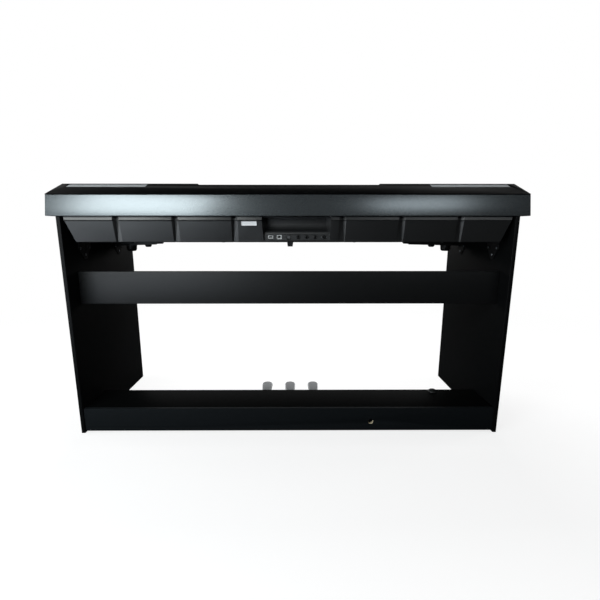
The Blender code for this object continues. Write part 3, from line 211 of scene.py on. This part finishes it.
# Stand boards
# Side panels, brace and the three boards of the pedal box are chipboard faced with black melamine paper.
# The press leaves a fine pebbled grain, and the cut edges are covered with a thin band of the same black.
BOARD_EDGE = 0.0009
BOARDS = (
    "side_panel_left", "side_panel_right", "rear_brace", "pedal_box_rear", "pedal_box_front", "pedal_box_top",
)


def rounded_copy(node, edge, segments=2, sharp=30.0, smooth=35.0, reshape=None):
    """A copy of a CAD node that stands for it, reshaped if asked, with every edge sharper than the angle rounded."""
    source = frame["nodes"][node]
    copy = bpy.data.objects.new(node + "_finished", source.data.copy())
    bpy.context.scene.collection.objects.link(copy)
    bpy.ops.object.select_all(action="DESELECT")
    copy.select_set(True)
    bpy.context.view_layer.objects.active = copy
    bpy.ops.object.mode_set(mode="EDIT")
    bpy.ops.mesh.select_all(action="SELECT")
    bpy.ops.mesh.remove_doubles(threshold=0.00001)
    bpy.ops.mesh.dissolve_limited(angle_limit=math.radians(0.5))
    bpy.ops.object.mode_set(mode="OBJECT")
    if reshape:
        reshape(copy)
    copy.data.shade_flat()
    bevel = copy.modifiers.new("edge", "BEVEL")
    bevel.width = edge
    bevel.segments = segments
    bevel.limit_method = "ANGLE"
    bevel.angle_limit = math.radians(sharp)
    bevel.use_clamp_overlap = True
    bevel.harden_normals = False
    bpy.ops.object.modifier_apply(modifier=bevel.name)
    bpy.ops.object.shade_smooth_by_angle(angle=math.radians(smooth))
    copy.data.materials.clear()
    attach(copy, source["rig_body"])
    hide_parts(node)
    return copy


def pitted(tree, size, strength, depth, detail=3.0):
    """Relief of fine pits or grain: their size, how strongly they show and how deep they are, in metres."""
    place = add_node(tree, "TexCoord").outputs["Object"]
    noise = add_node(tree, "TexNoise", {"Vector": place, "Scale": 1 / size, "Detail": detail, "Roughness": 0.6})
    bump = add_node(tree, "Bump", {"Height": noise.outputs["Fac"], "Strength": strength, "Distance": depth})
    return bump.outputs["Normal"], noise.outputs["Fac"]


def blotched(tree, size, low, high, tones, detail=4.0):
    """A colour that wanders between two tones in patches of the given size, in metres."""
    place = add_node(tree, "TexCoord").outputs["Object"]
    noise = add_node(tree, "TexNoise", {"Vector": place, "Scale": 1 / size, "Detail": detail, "Roughness": 0.65})
    level = add_node(tree, "MapRange", {"Value": noise.outputs["Fac"], "From Min": low, "From Max": high})
    mix = add_node(
        tree, "Mix", {0: level.outputs["Result"], 6: linear(tones[0]), 7: linear(tones[1])}, data_type="RGBA",
    )
    return mix.outputs[2]


# Black melamine faced chipboard: the pebbled press grain breaks the sheen up into fine grey specks.
# All six boards are the same paper, drawn as lit and shaded copies: the brace's copy has painted sheen, the pedal
# box's rear and front a paler painted tone with little sheen, and its top a darker tone of painted shade.
for finish, faced, tones, sheen in (
    ("black_melamine_board", BOARDS[:2], ("#08090a", "#0e0f10"), 0.10),
    ("black_melamine_painted_sheen", BOARDS[2:3], ("#090a0b", "#121314"), 0.40),
    ("black_melamine_painted_paler", BOARDS[3:5], ("#131618", "#1b1e20"), 0.03),
    ("black_melamine_painted_shade", BOARDS[5:], ("#050606", "#090a0a"), 0.01),
):
    melamine, tree = new_material(finish)
    relief, grain = pitted(tree, 0.0011, 0.3, 0.0002)
    speck = add_node(
        tree, "MapRange",
        {"Value": grain, "From Min": 0.42, "From Max": 0.66, "To Min": 0.44, "To Max": 0.58},
    )
    surface = add_node(
        tree, "BsdfPrincipled",
        {
            "Base Color": blotched(tree, 0.0016, 0.35, 0.65, tones),
            "Roughness": speck.outputs["Result"],
            "Specular IOR Level": sheen,
            "Normal": relief,
        },
    )
    add_node(tree, "OutputMaterial", {"Surface": surface.outputs[0]})
    for board in faced:
        copy = rounded_copy(board, BOARD_EDGE)
        copy.data.materials.append(melamine)

# The cable hole is drilled after the boards are faced, so its wall is raw chipboard, pale and rough.
CABLE_HOLE = (-0.2595, 0.037)
CABLE_HOLE_REACH = 0.0095
chipboard, tree = new_material("raw_drilled_chipboard")
relief, grain = pitted(tree, 0.0015, 0.5, 0.0004)
surface = add_node(
    tree, "BsdfPrincipled",
    {
        "Base Color": blotched(tree, 0.002, 0.3, 0.7, ("#a99c80", "#cabfa4")),
        "Roughness": 0.9,
        "Normal": relief,
    },
)
add_node(tree, "OutputMaterial", {"Surface": surface.outputs[0]})
drilled = bpy.data.objects["pedal_box_rear_finished"]
drilled.data.materials.append(chipboard)
for face in drilled.data.polygons:
    off_axis = math.hypot(face.center.x - CABLE_HOLE[0], face.center.z - CABLE_HOLE[1])
    if off_axis < CABLE_HOLE_REACH and abs(face.normal.y) < 0.3:
        face.material_index = 1

# A soft black rubber cap, domed, covers a fixing near the box's front edge.
CAP_PLACE = (-0.500, 0.1025, 0.082)
CAP_RADIUS = 0.0155
CAP_RISE = 0.0085
bpy.ops.object.select_all(action="DESELECT")
bpy.ops.mesh.primitive_uv_sphere_add(segments=32, ring_count=16, radius=CAP_RADIUS, location=CAP_PLACE)
cap = bpy.context.active_object
cap.name = "pedal_box_cap"
bpy.ops.object.mode_set(mode="EDIT")
bpy.ops.transform.resize(value=(1, 1, CAP_RISE / CAP_RADIUS), center_override=CAP_PLACE)
bpy.ops.mesh.bisect(plane_co=(0, 0, 0), plane_no=(0, 0, 1), clear_inner=True, use_fill=True)
bpy.ops.object.mode_set(mode="OBJECT")
bpy.ops.object.transform_apply(location=True, rotation=True, scale=True)
bpy.ops.object.shade_smooth_by_angle(angle=math.radians(50))
rubber, tree = new_material("black_moulded_rubber")
relief, grain = pitted(tree, 0.001, 0.2, 0.0001)
surface = add_node(
    tree, "BsdfPrincipled",
    {
        "Base Color": blotched(tree, 0.003, 0.3, 0.7, ("#0c0d0d", "#141515")),
        "Roughness": 0.45,
        "Normal": relief,
    },
)
add_node(tree, "OutputMaterial", {"Surface": surface.outputs[0]})
cap.data.materials.append(rubber)
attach(cap, "piano")


# Pedal carrier and axle
# A bent steel tray with four ears, screwed down inside the pedal box, and a turned steel rod through them.
# Both are zinc plated, which leaves a pale bluish grey with faint crystals.
zinc, tree = new_material("zinc_plated_steel")
relief, grain = pitted(tree, 0.004, 0.15, 0.0002)
surface = add_node(
    tree, "BsdfPrincipled",
    {
        "Base Color": blotched(tree, 0.006, 0.35, 0.65, ("#a3a7ab", "#bfc3c6")),
        "Metallic": 1.0,
        "Roughness": 0.34,
        "Normal": relief,
    },
)
add_node(tree, "OutputMaterial", {"Surface": surface.outputs[0]})
for node in ("pedal_carrier", "pedal_axle"):
    frame["nodes"][node].data.materials.clear()
    frame["nodes"][node].data.materials.append(zinc)


# Pedals
# Three cast levers with broad rounded tips, polished and chromed. They catch the white backdrop,
# with darker lines where the rounded rims turn away.
chrome, tree = new_material("polished_chrome")
relief, grain = pitted(tree, 0.03, 0.05, 0.0004)
surface = add_node(
    tree, "BsdfPrincipled",
    {
        "Base Color": blotched(tree, 0.02, 0.3, 0.7, ("#dfe3e6", "#eceff1")),
        "Metallic": 1.0,
        "Roughness": 0.16,
        "Normal": relief,
    },
)
add_node(tree, "OutputMaterial", {"Surface": surface.outputs[0]})
for node in ("pedal_soft", "pedal_sostenuto", "pedal_sustain"):
    frame["nodes"][node].data.materials.clear()
    frame["nodes"][node].data.materials.append(chrome)


# Brackets
# Folded steel angles with a black powder coat, screwed to the side panels under the lower case.
# The coat is a little glossier than the boards and has a fine orange peel.
powder, tree = new_material("black_powder_coat")
relief, grain = pitted(tree, 0.0018, 0.25, 0.0002)
surface = add_node(
    tree, "BsdfPrincipled",
    {
        "Base Color": blotched(tree, 0.003, 0.3, 0.7, ("#0b0b0c", "#131415")),
        "Roughness": 0.45,
        "Normal": relief,
    },
)
add_node(tree, "OutputMaterial", {"Surface": surface.outputs[0]})
for node in ("bracket_front_left", "bracket_front_right", "bracket_rear_left", "bracket_rear_right"):
    copy = rounded_copy(node, 0.0004)
    copy.data.materials.append(powder)

# Each bracket is held by three pan-headed screws with a cross recess, bright zinc plated.
# The ones under the lower case are the same kind, and go up into the cabinet.
HEAD_RADIUS = 0.0045
HEAD_RISE = 0.0024
HEAD_ROUND = 0.0016
CROSS_SLOT = (0.0048, 0.0009, 0.0030)
SIDE_FACE = 0.6493
UNDERSIDE = 0.6024
REAR_SCREWS = ((0.1468, 0.582), (0.0969, 0.582), (0.1225, 0.560))
FRONT_SCREWS = ((-0.131, 0.578), (-0.083, 0.578), (-0.109, 0.557))
CASE_SCREWS = [(x, y) for x in (-0.47, -0.20, 0.20, 0.47) for y in (-0.195, 0.165)]

bpy.ops.object.select_all(action="DESELECT")
bpy.ops.mesh.primitive_cylinder_add(vertices=24, radius=HEAD_RADIUS, depth=HEAD_RISE, location=(0, 0, HEAD_RISE / 2))
head = bpy.context.active_object
bpy.ops.object.transform_apply(location=True, rotation=True, scale=True)
for edge in head.data.edges:
    edge.select = all(head.data.vertices[end].co.z > HEAD_RISE / 2 for end in edge.vertices)
bpy.ops.object.mode_set(mode="EDIT")
bpy.ops.mesh.select_mode(type="EDGE")
bpy.ops.mesh.bevel(offset=HEAD_ROUND, segments=4)
bpy.ops.object.mode_set(mode="OBJECT")
for turned in (0, 90):
    bpy.ops.object.select_all(action="DESELECT")
    bpy.ops.mesh.primitive_cube_add(size=1, location=(0, 0, HEAD_RISE), rotation=(0, 0, math.radians(turned)))
    cutter = bpy.context.active_object
    cutter.scale = CROSS_SLOT
    bpy.ops.object.transform_apply(location=True, rotation=True, scale=True)
    bpy.ops.object.select_all(action="DESELECT")
    head.select_set(True)
    bpy.context.view_layer.objects.active = head
    recess = head.modifiers.new("cross", "BOOLEAN")
    recess.operation = "DIFFERENCE"
    recess.solver = "EXACT"
    recess.object = cutter
    bpy.ops.object.modifier_apply(modifier=recess.name)
    bpy.data.objects.remove(cutter)
bpy.ops.object.shade_smooth_by_angle(angle=math.radians(35))

screw_places = {}
for side, hand in ((-1, "left"), (1, "right")):
    inward = Matrix.Rotation(math.radians(-90 * side), 4, "Y")
    for end, places in (("rear", REAR_SCREWS), ("front", FRONT_SCREWS)):
        screw_places[f"bracket_screws_{end}_{hand}"] = [
            Matrix.Translation((side * SIDE_FACE, y, z)) @ inward for y, z in places
        ]
downward = Matrix.Rotation(math.radians(180), 4, "X")
screw_places["case_screws"] = [Matrix.Translation((x, y, UNDERSIDE)) @ downward for x, y in CASE_SCREWS]
for name, places in screw_places.items():
    bpy.ops.object.select_all(action="DESELECT")
    for turn, place in enumerate(places):
        screw = bpy.data.objects.new(name, head.data.copy())
        bpy.context.scene.collection.objects.link(screw)
        screw.data.transform(place @ Matrix.Rotation(math.radians(37 * turn), 4, "Z"))
        screw.select_set(True)
        bpy.context.view_layer.objects.active = screw
    bpy.ops.object.join()
    screws = bpy.context.active_object
    screws.name = name
    screws.data.materials.append(zinc)
    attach(screws, "piano")
bpy.data.objects.remove(head)


# Clamp knobs
# Round grips of hard black plastic, moulded onto a steel screw, under the two front brackets.
grip, tree = new_material("black_moulded_grip")
relief, grain = pitted(tree, 0.0015, 0.3, 0.0002)
surface = add_node(
    tree, "BsdfPrincipled",
    {
        "Base Color": blotched(tree, 0.004, 0.3, 0.7, ("#121314", "#1b1c1d")),
        "Roughness": 0.42,
        "Normal": relief,
    },
)
add_node(tree, "OutputMaterial", {"Surface": surface.outputs[0]})
for node in ("clamp_knob_left", "clamp_knob_right"):
    frame["nodes"][node].data.materials.clear()
    frame["nodes"][node].data.materials.append(grip)


# Rear board
# A long board behind the cabinet, leaning forward at the top, lacquered in satin charcoal with metal flake.
# The flake spreads each lamp's reflection into a broad pale patch.
lacquer, tree = new_material("charcoal_metallic_lacquer")
relief, grain = pitted(tree, 0.0010, 0.08, 0.0002)
sheen = add_node(
    tree, "MapRange",
    {"Value": grain, "From Min": 0.3, "From Max": 0.7, "To Min": 0.24, "To Max": 0.32},
)
surface = add_node(
    tree, "BsdfPrincipled",
    {
        "Base Color": blotched(tree, 0.0012, 0.35, 0.65, ("#63686b", "#6e7477")),
        "Metallic": 0.8,
        "Roughness": sheen.outputs["Result"],
        "Normal": relief,
    },
)
add_node(tree, "OutputMaterial", {"Surface": surface.outputs[0]})
copy = rounded_copy("rear_board", 0.0006)
copy.data.materials.append(lacquer)


# End cheeks and key slip
# Boards with rounded fronts that close the cabinet round the keys, in a black satin lacquer.
satin, tree = new_material("black_satin_lacquer")
relief, grain = pitted(tree, 0.0014, 0.15, 0.0002)
surface = add_node(
    tree, "BsdfPrincipled",
    {
        "Base Color": blotched(tree, 0.002, 0.35, 0.65, ("#1c1d1e", "#232526")),
        "Roughness": 0.38,
        "Normal": relief,
    },
)
add_node(tree, "OutputMaterial", {"Surface": surface.outputs[0]})
for node in ("end_cheek_left", "end_cheek_right", "key_slip"):
    copy = rounded_copy(node, 0.0006)
    copy.data.materials.append(satin)


# Hood
# One long moulding in fine matt black, from the rear board over the ridge to the nose above the keys.
# The spark-eroded mould leaves an even fine grain.
hood_finish, tree = new_material("black_spark_grained_abs")
relief, grain = pitted(tree, 0.0009, 0.3, 0.0002)
surface = add_node(
    tree, "BsdfPrincipled",
    {
        "Base Color": blotched(tree, 0.002, 0.35, 0.65, ("#030404", "#070708")),
        "Roughness": 0.36,
        "Specular IOR Level": 0.01,
        "Normal": relief,
    },
)
add_node(tree, "OutputMaterial", {"Surface": surface.outputs[0]})
copy = rounded_copy("hood", 0.0005)
copy.data.materials.append(hood_finish)


# Speaker grilles and loudspeakers
# Punched steel strips in silver grey lacquer, let into the hood, and oval paper cones under them.
# The real holes are about a millimetre apart, and are drawn three times as coarse.
GRILLE_WIDTH = 0.0225
GRILLE_RIM = 0.0030
GRILLE_HOLES = (75, 8)
GRILLE_BAR = 0.0013
GRILLE_PLATE = 0.0010
GRILLE_LIFT = 0.0006
GRILLE_TILT_TRIM = math.radians(2.0)

silver, tree = new_material("silver_grey_lacquered_steel")
relief, grain = pitted(tree, 0.0012, 0.2, 0.0002)
surface = add_node(
    tree, "BsdfPrincipled",
    {
        "Base Color": blotched(tree, 0.002, 0.35, 0.65, ("#9a9ea0", "#a6aaac")),
        "Metallic": 0.1,
        "Roughness": 0.42,
        "Normal": relief,
    },
)
add_node(tree, "OutputMaterial", {"Surface": surface.outputs[0]})
for side, node in ((-1, "speaker_grille_left"), (1, "speaker_grille_right")):
    low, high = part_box(node)
    rise = math.atan2(high.z - low.z, high.y - low.y) - GRILLE_TILT_TRIM
    length = high.x - low.x
    bpy.ops.object.select_all(action="DESELECT")
    bpy.ops.mesh.primitive_grid_add(x_subdivisions=GRILLE_HOLES[0], y_subdivisions=GRILLE_HOLES[1], size=1)
    grille = bpy.context.active_object
    grille.name = node + "_finished"
    grille.scale = (length, GRILLE_WIDTH, 1)
    bpy.ops.object.transform_apply(location=True, rotation=True, scale=True)
    for face in grille.data.polygons:
        inside_x = abs(face.center.x) < length / 2 - GRILLE_RIM
        face.select = inside_x and abs(face.center.y) < GRILLE_WIDTH / 2 - GRILLE_RIM
    bpy.ops.object.mode_set(mode="EDIT")
    bpy.ops.mesh.select_mode(type="FACE")
    bpy.ops.mesh.inset(thickness=GRILLE_BAR / 2, use_individual=True)
    bpy.ops.mesh.delete(type="FACE")
    bpy.ops.object.mode_set(mode="OBJECT")
    plate = grille.modifiers.new("plate", "SOLIDIFY")
    plate.thickness = GRILLE_PLATE
    plate.offset = -1.0
    bpy.ops.object.modifier_apply(modifier=plate.name)
    centre = Vector(((low.x + high.x) / 2, (low.y + high.y) / 2, (low.z + high.z) / 2 + GRILLE_LIFT))
    grille.data.transform(Matrix.Translation(centre) @ Matrix.Rotation(-rise, 4, "X"))
    grille.data.materials.append(silver)
    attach(grille, "piano")
    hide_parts(node)

paper, tree = new_material("black_pressed_paper")
relief, grain = pitted(tree, 0.002, 0.5, 0.0004)
surface = add_node(
    tree, "BsdfPrincipled",
    {
        "Base Color": blotched(tree, 0.003, 0.3, 0.7, ("#161616", "#222222")),
        "Roughness": 0.85,
        "Normal": relief,
    },
)
add_node(tree, "OutputMaterial", {"Surface": surface.outputs[0]})
for node in ("speaker_left", "speaker_right"):
    frame["nodes"][node].data.materials.clear()
    frame["nodes"][node].data.materials.append(paper)


# Control panel
# A thin moulded insert in semi-gloss black, with a dark clear window over the display.
gloss, tree = new_material("black_semi_gloss_abs")
relief, grain = pitted(tree, 0.002, 0.1, 0.0002)
surface = add_node(
    tree, "BsdfPrincipled",
    {
        "Base Color": blotched(tree, 0.004, 0.3, 0.7, ("#141516", "#1b1c1d")),
        "Roughness": 0.28,
        "Normal": relief,
    },
)
add_node(tree, "OutputMaterial", {"Surface": surface.outputs[0]})
copy = rounded_copy("control_panel", 0.0003)
copy.data.materials.append(gloss)

window, tree = new_material("smoked_acrylic")
relief, grain = pitted(tree, 0.02, 0.05, 0.0002)
surface = add_node(
    tree, "BsdfPrincipled",
    {
        "Base Color": blotched(tree, 0.01, 0.3, 0.7, ("#0b0d10", "#10141a")),
        "Roughness": 0.07,
        "Normal": relief,
    },
)
add_node(tree, "OutputMaterial", {"Surface": surface.outputs[0]})
frame["nodes"]["display_window"].data.materials.clear()
frame["nodes"]["display_window"].data.materials.append(window)


# Buttons and volume knob
# Small caps of soft-touch grey plastic that press in, and a turned grip for the volume.
soft_touch, tree = new_material("grey_soft_touch_plastic")
relief, grain = pitted(tree, 0.001, 0.2, 0.0001)
surface = add_node(
    tree, "BsdfPrincipled",
    {
        "Base Color": blotched(tree, 0.002, 0.3, 0.7, ("#6a6d70", "#74777a")),
        "Roughness": 0.55,
        "Normal": relief,
    },
)
add_node(tree, "OutputMaterial", {"Surface": surface.outputs[0]})
for node in ("voice_button", "minus_button", "plus_button", "power_button", "volume_knob"):
    frame["nodes"][node].data.materials.clear()
    frame["nodes"][node].data.materials.append(soft_touch)


# Lower case
# One large moulding in dark grey ABS with a fine leather grain, grooved across its rear wall
# and scooped out round the sockets. It is screwed up under the cabinet.
# The lip along its top is undercut, which draws a dark line under it.
CASE_EDGE = 0.0005
LIP_BEHIND = 0.19
LIP_STEP_HEIGHT = 0.6672
LIP_STEP_MOVE = (0, 0, -0.0046)
LIP_LOW = 0.6680
LIP_LOW_MOVE = (0, 0.0010, -0.0018)
JACK_EDGE = (0.2107, 0.6348)
JACK_EDGE_DROP = 0.0058
JACK_EDGE_ROUND = 0.0045
NEAR = 0.0003

case_finish, tree = new_material("dark_grey_grained_abs")
relief, grain = pitted(tree, 0.0013, 0.3, 0.0003)
surface = add_node(
    tree, "BsdfPrincipled",
    {
        "Base Color": blotched(tree, 0.0022, 0.35, 0.65, ("#090a0c", "#0e1011")),
        "Roughness": 0.48,
        "Specular IOR Level": 1.1,
        "Normal": relief,
    },
)
add_node(tree, "OutputMaterial", {"Surface": surface.outputs[0]})


def undercut_and_soften(copy):
    """Deepens the step under the lip, and lets the scoop run down into the jack face over a soft edge."""
    for face in copy.data.polygons:
        face.select = False
    for edge in copy.data.edges:
        edge.select = False
    for height, move in ((LIP_STEP_HEIGHT, LIP_STEP_MOVE), (LIP_LOW, LIP_LOW_MOVE)):
        for vert in copy.data.vertices:
            vert.select = vert.co.y > LIP_BEHIND and abs(vert.co.z - height) < NEAR
        bpy.ops.object.mode_set(mode="EDIT")
        bpy.ops.mesh.select_mode(type="VERT")
        bpy.ops.transform.translate(value=move)
        bpy.ops.mesh.select_all(action="DESELECT")
        bpy.ops.object.mode_set(mode="OBJECT")
    for edge in copy.data.edges:
        ends = [copy.data.vertices[end].co for end in edge.vertices]
        edge.select = all(math.hypot(end.y - JACK_EDGE[0], end.z - JACK_EDGE[1]) < NEAR for end in ends)
    bpy.ops.object.mode_set(mode="EDIT")
    bpy.ops.mesh.select_mode(type="EDGE")
    bpy.ops.transform.translate(value=(0, 0, -JACK_EDGE_DROP))
    bpy.ops.mesh.bevel(offset=JACK_EDGE_ROUND, segments=5)
    bpy.ops.object.mode_set(mode="OBJECT")


copy = rounded_copy("lower_case", CASE_EDGE, sharp=12.0, smooth=16.0, reshape=undercut_and_soften)
copy.data.materials.append(case_finish)


# Label
# A blank white sticker of coated paper with rounded corners, stuck on the case left of the jack recess.
LABEL_SIZE = (0.0439, 0.00025, 0.0120)
LABEL_PLACE = (0.11375, 0.22622, 0.6565)
LABEL_CORNER = 0.0015
LABEL_LEAN = -12.13
bpy.ops.object.select_all(action="DESELECT")
bpy.ops.mesh.primitive_cube_add(size=1)
label = bpy.context.active_object
label.name = "blank_label"
label.scale = LABEL_SIZE
bpy.ops.object.transform_apply(location=True, rotation=True, scale=True)
for edge in label.data.edges:
    ends = [label.data.vertices[end].co for end in edge.vertices]
    edge.select = ends[0].x * ends[1].x > 0 and ends[0].z * ends[1].z > 0
bpy.ops.object.mode_set(mode="EDIT")
bpy.ops.mesh.select_mode(type="EDGE")
bpy.ops.mesh.bevel(offset=LABEL_CORNER, segments=4)
bpy.ops.object.mode_set(mode="OBJECT")
label.data.transform(Matrix.Translation(LABEL_PLACE) @ Matrix.Rotation(math.radians(LABEL_LEAN), 4, "X"))
paper_white, tree = new_material("white_coated_paper")
relief, grain = pitted(tree, 0.001, 0.1, 0.0001)
surface = add_node(
    tree, "BsdfPrincipled",
    {
        "Base Color": blotched(tree, 0.004, 0.3, 0.7, ("#e9ebec", "#f1f2f3")),
        "Roughness": 0.4,
        "Normal": relief,
    },
)
add_node(tree, "OutputMaterial", {"Surface": surface.outputs[0]})
label.data.materials.append(paper_white)
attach(label, "piano")


# Main board and key chassis
# A green circuit board with its sockets, and the grey channel that the keys lie over.
# The two data sockets are white nylon, the others black with black collars, and the inlet's screws are plated.
BOARD_FACE = 0.6102
WHITE_FROM = 0.018
SOCKET_AXIS = 0.6174
SOCKET_FRONT = 0.2115
TONGUES = ((0.0525, (0.0080, 0.0090, 0.0020), 0.0012), (0.0276, (0.0062, 0.0090, 0.0036), 0.0006))
COLLARS = (
    (0.0006, 0.0062, 0.0012),
    (-0.0282, 0.0038, 0.0010),
    (-0.0528, 0.0038, 0.0010),
    (-0.0780, 0.0038, 0.0010),
)
INLET = -0.1045
INLET_SCREWS = 0.0082
FIVE_PIN = (0.0006, 0.0052, 0.0032)
solder_mask, tree = new_material("green_solder_mask")
relief, grain = pitted(tree, 0.002, 0.2, 0.0002)
surface = add_node(
    tree, "BsdfPrincipled",
    {
        "Base Color": blotched(tree, 0.003, 0.3, 0.7, ("#123f29", "#194b33")),
        "Roughness": 0.4,
        "Normal": relief,
    },
)
add_node(tree, "OutputMaterial", {"Surface": surface.outputs[0]})

nylons = []
for finish, tones in (
    ("white_socket_nylon", ("#cfd1d0", "#dcdddb")),
    ("black_socket_nylon", ("#050505", "#0a0a0a")),
    ("dark_grey_socket_insert", ("#4b4d4f", "#585a5c")),
):
    nylon, tree = new_material(finish)
    relief, grain = pitted(tree, 0.001, 0.15, 0.0001)
    surface = add_node(
        tree, "BsdfPrincipled",
        {"Base Color": blotched(tree, 0.002, 0.3, 0.7, tones), "Roughness": 0.45, "Normal": relief},
    )
    add_node(tree, "OutputMaterial", {"Surface": surface.outputs[0]})
    nylons.append(nylon)
white_nylon, black_nylon, grey_nylon = nylons
board = rounded_copy("main_board", 0.0003)
for finish in (solder_mask, white_nylon, black_nylon):
    board.data.materials.append(finish)
for face in board.data.polygons:
    if face.center.z > BOARD_FACE:
        face.material_index = 1 if face.center.x > WHITE_FROM else 2

inserts = []
for place, size, lift in TONGUES:
    bpy.ops.object.select_all(action="DESELECT")
    middle = (place, SOCKET_FRONT - 0.001 - size[1] / 2, SOCKET_AXIS + lift)
    bpy.ops.mesh.primitive_cube_add(size=1, location=middle)
    bpy.context.active_object.scale = size
    inserts.append((bpy.context.active_object, black_nylon))
bpy.ops.object.select_all(action="DESELECT")
turned = (math.radians(90), 0, 0)
bpy.ops.mesh.primitive_cylinder_add(
    vertices=32, radius=FIVE_PIN[1], depth=0.004, location=(FIVE_PIN[0], SOCKET_FRONT - 0.0035, SOCKET_AXIS),
    rotation=turned,
)
inserts.append((bpy.context.active_object, grey_nylon))
# The five pin holes are thin black discs on the grey insert, painted shade for the holes.
for turn in range(5):
    around = math.radians(-90 + 45 * (turn - 2))
    hole = (FIVE_PIN[0] + FIVE_PIN[2] * math.cos(around), SOCKET_FRONT - 0.0016, SOCKET_AXIS - FIVE_PIN[2] * math.sin(around))
    bpy.ops.object.select_all(action="DESELECT")
    bpy.ops.mesh.primitive_cylinder_add(vertices=12, radius=0.0007, depth=0.0004, location=hole, rotation=turned)
    inserts.append((bpy.context.active_object, black_nylon))
for place, radius, wire in COLLARS:
    bpy.ops.object.select_all(action="DESELECT")
    bpy.ops.mesh.primitive_torus_add(
        major_radius=radius, minor_radius=wire, major_segments=32, minor_segments=8,
        location=(place, SOCKET_FRONT, SOCKET_AXIS), rotation=turned,
    )
    inserts.append((bpy.context.active_object, black_nylon))
for place, radius, deep, out in (
    (INLET, 0.0009, 0.0090, -0.0050), (INLET - INLET_SCREWS, 0.0018, 0.0012, -0.0004),
    (INLET + INLET_SCREWS, 0.0018, 0.0012, -0.0004),
):
    bpy.ops.object.select_all(action="DESELECT")
    bpy.ops.mesh.primitive_cylinder_add(
        vertices=20, radius=radius, depth=deep, location=(place, SOCKET_FRONT + out, SOCKET_AXIS), rotation=turned,
    )
    inserts.append((bpy.context.active_object, zinc))
bpy.ops.object.select_all(action="DESELECT")
for insert, finish in inserts:
    insert.data.materials.append(finish)
    insert.select_set(True)
bpy.context.view_layer.objects.active = inserts[0][0]
bpy.ops.object.join()
fittings = bpy.context.active_object
fittings.name = "socket_fittings"
bpy.ops.object.transform_apply(location=True, rotation=True, scale=True)
bpy.ops.object.shade_smooth_by_angle(angle=math.radians(35))
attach(fittings, "piano")

moulded, tree = new_material("grey_moulded_polypropylene")
relief, grain = pitted(tree, 0.003, 0.2, 0.0002)
surface = add_node(
    tree, "BsdfPrincipled",
    {
        "Base Color": blotched(tree, 0.006, 0.3, 0.7, ("#4c4e50", "#575a5c")),
        "Roughness": 0.55,
        "Normal": relief,
    },
)
add_node(tree, "OutputMaterial", {"Surface": surface.outputs[0]})
frame["nodes"]["key_chassis"].data.materials.clear()
frame["nodes"]["key_chassis"].data.materials.append(moulded)


# Keys
# White keys in glossy acrylic-faced plastic and black keys in matt, moulded in combs of several keys each.
ivory, tree = new_material("white_key_acrylic")
relief, grain = pitted(tree, 0.01, 0.04, 0.0002)
surface = add_node(
    tree, "BsdfPrincipled",
    {
        "Base Color": blotched(tree, 0.03, 0.3, 0.7, ("#ebe9e3", "#f2f0ea")),
        "Roughness": 0.18,
        "Normal": relief,
    },
)
add_node(tree, "OutputMaterial", {"Surface": surface.outputs[0]})
ebony, tree = new_material("matt_black_key_plastic")
relief, grain = pitted(tree, 0.0008, 0.3, 0.0001)
surface = add_node(
    tree, "BsdfPrincipled",
    {
        "Base Color": blotched(tree, 0.003, 0.3, 0.7, ("#141415", "#1b1b1c")),
        "Roughness": 0.4,
        "Normal": relief,
    },
)
add_node(tree, "OutputMaterial", {"Surface": surface.outputs[0]})
for node in sorted(frame["nodes"]):
    if node.startswith(("octave", "lowest", "highest")):
        copy = rounded_copy(node, 0.0005)
        copy.data.materials.append(ebony if "black" in node else ivory)
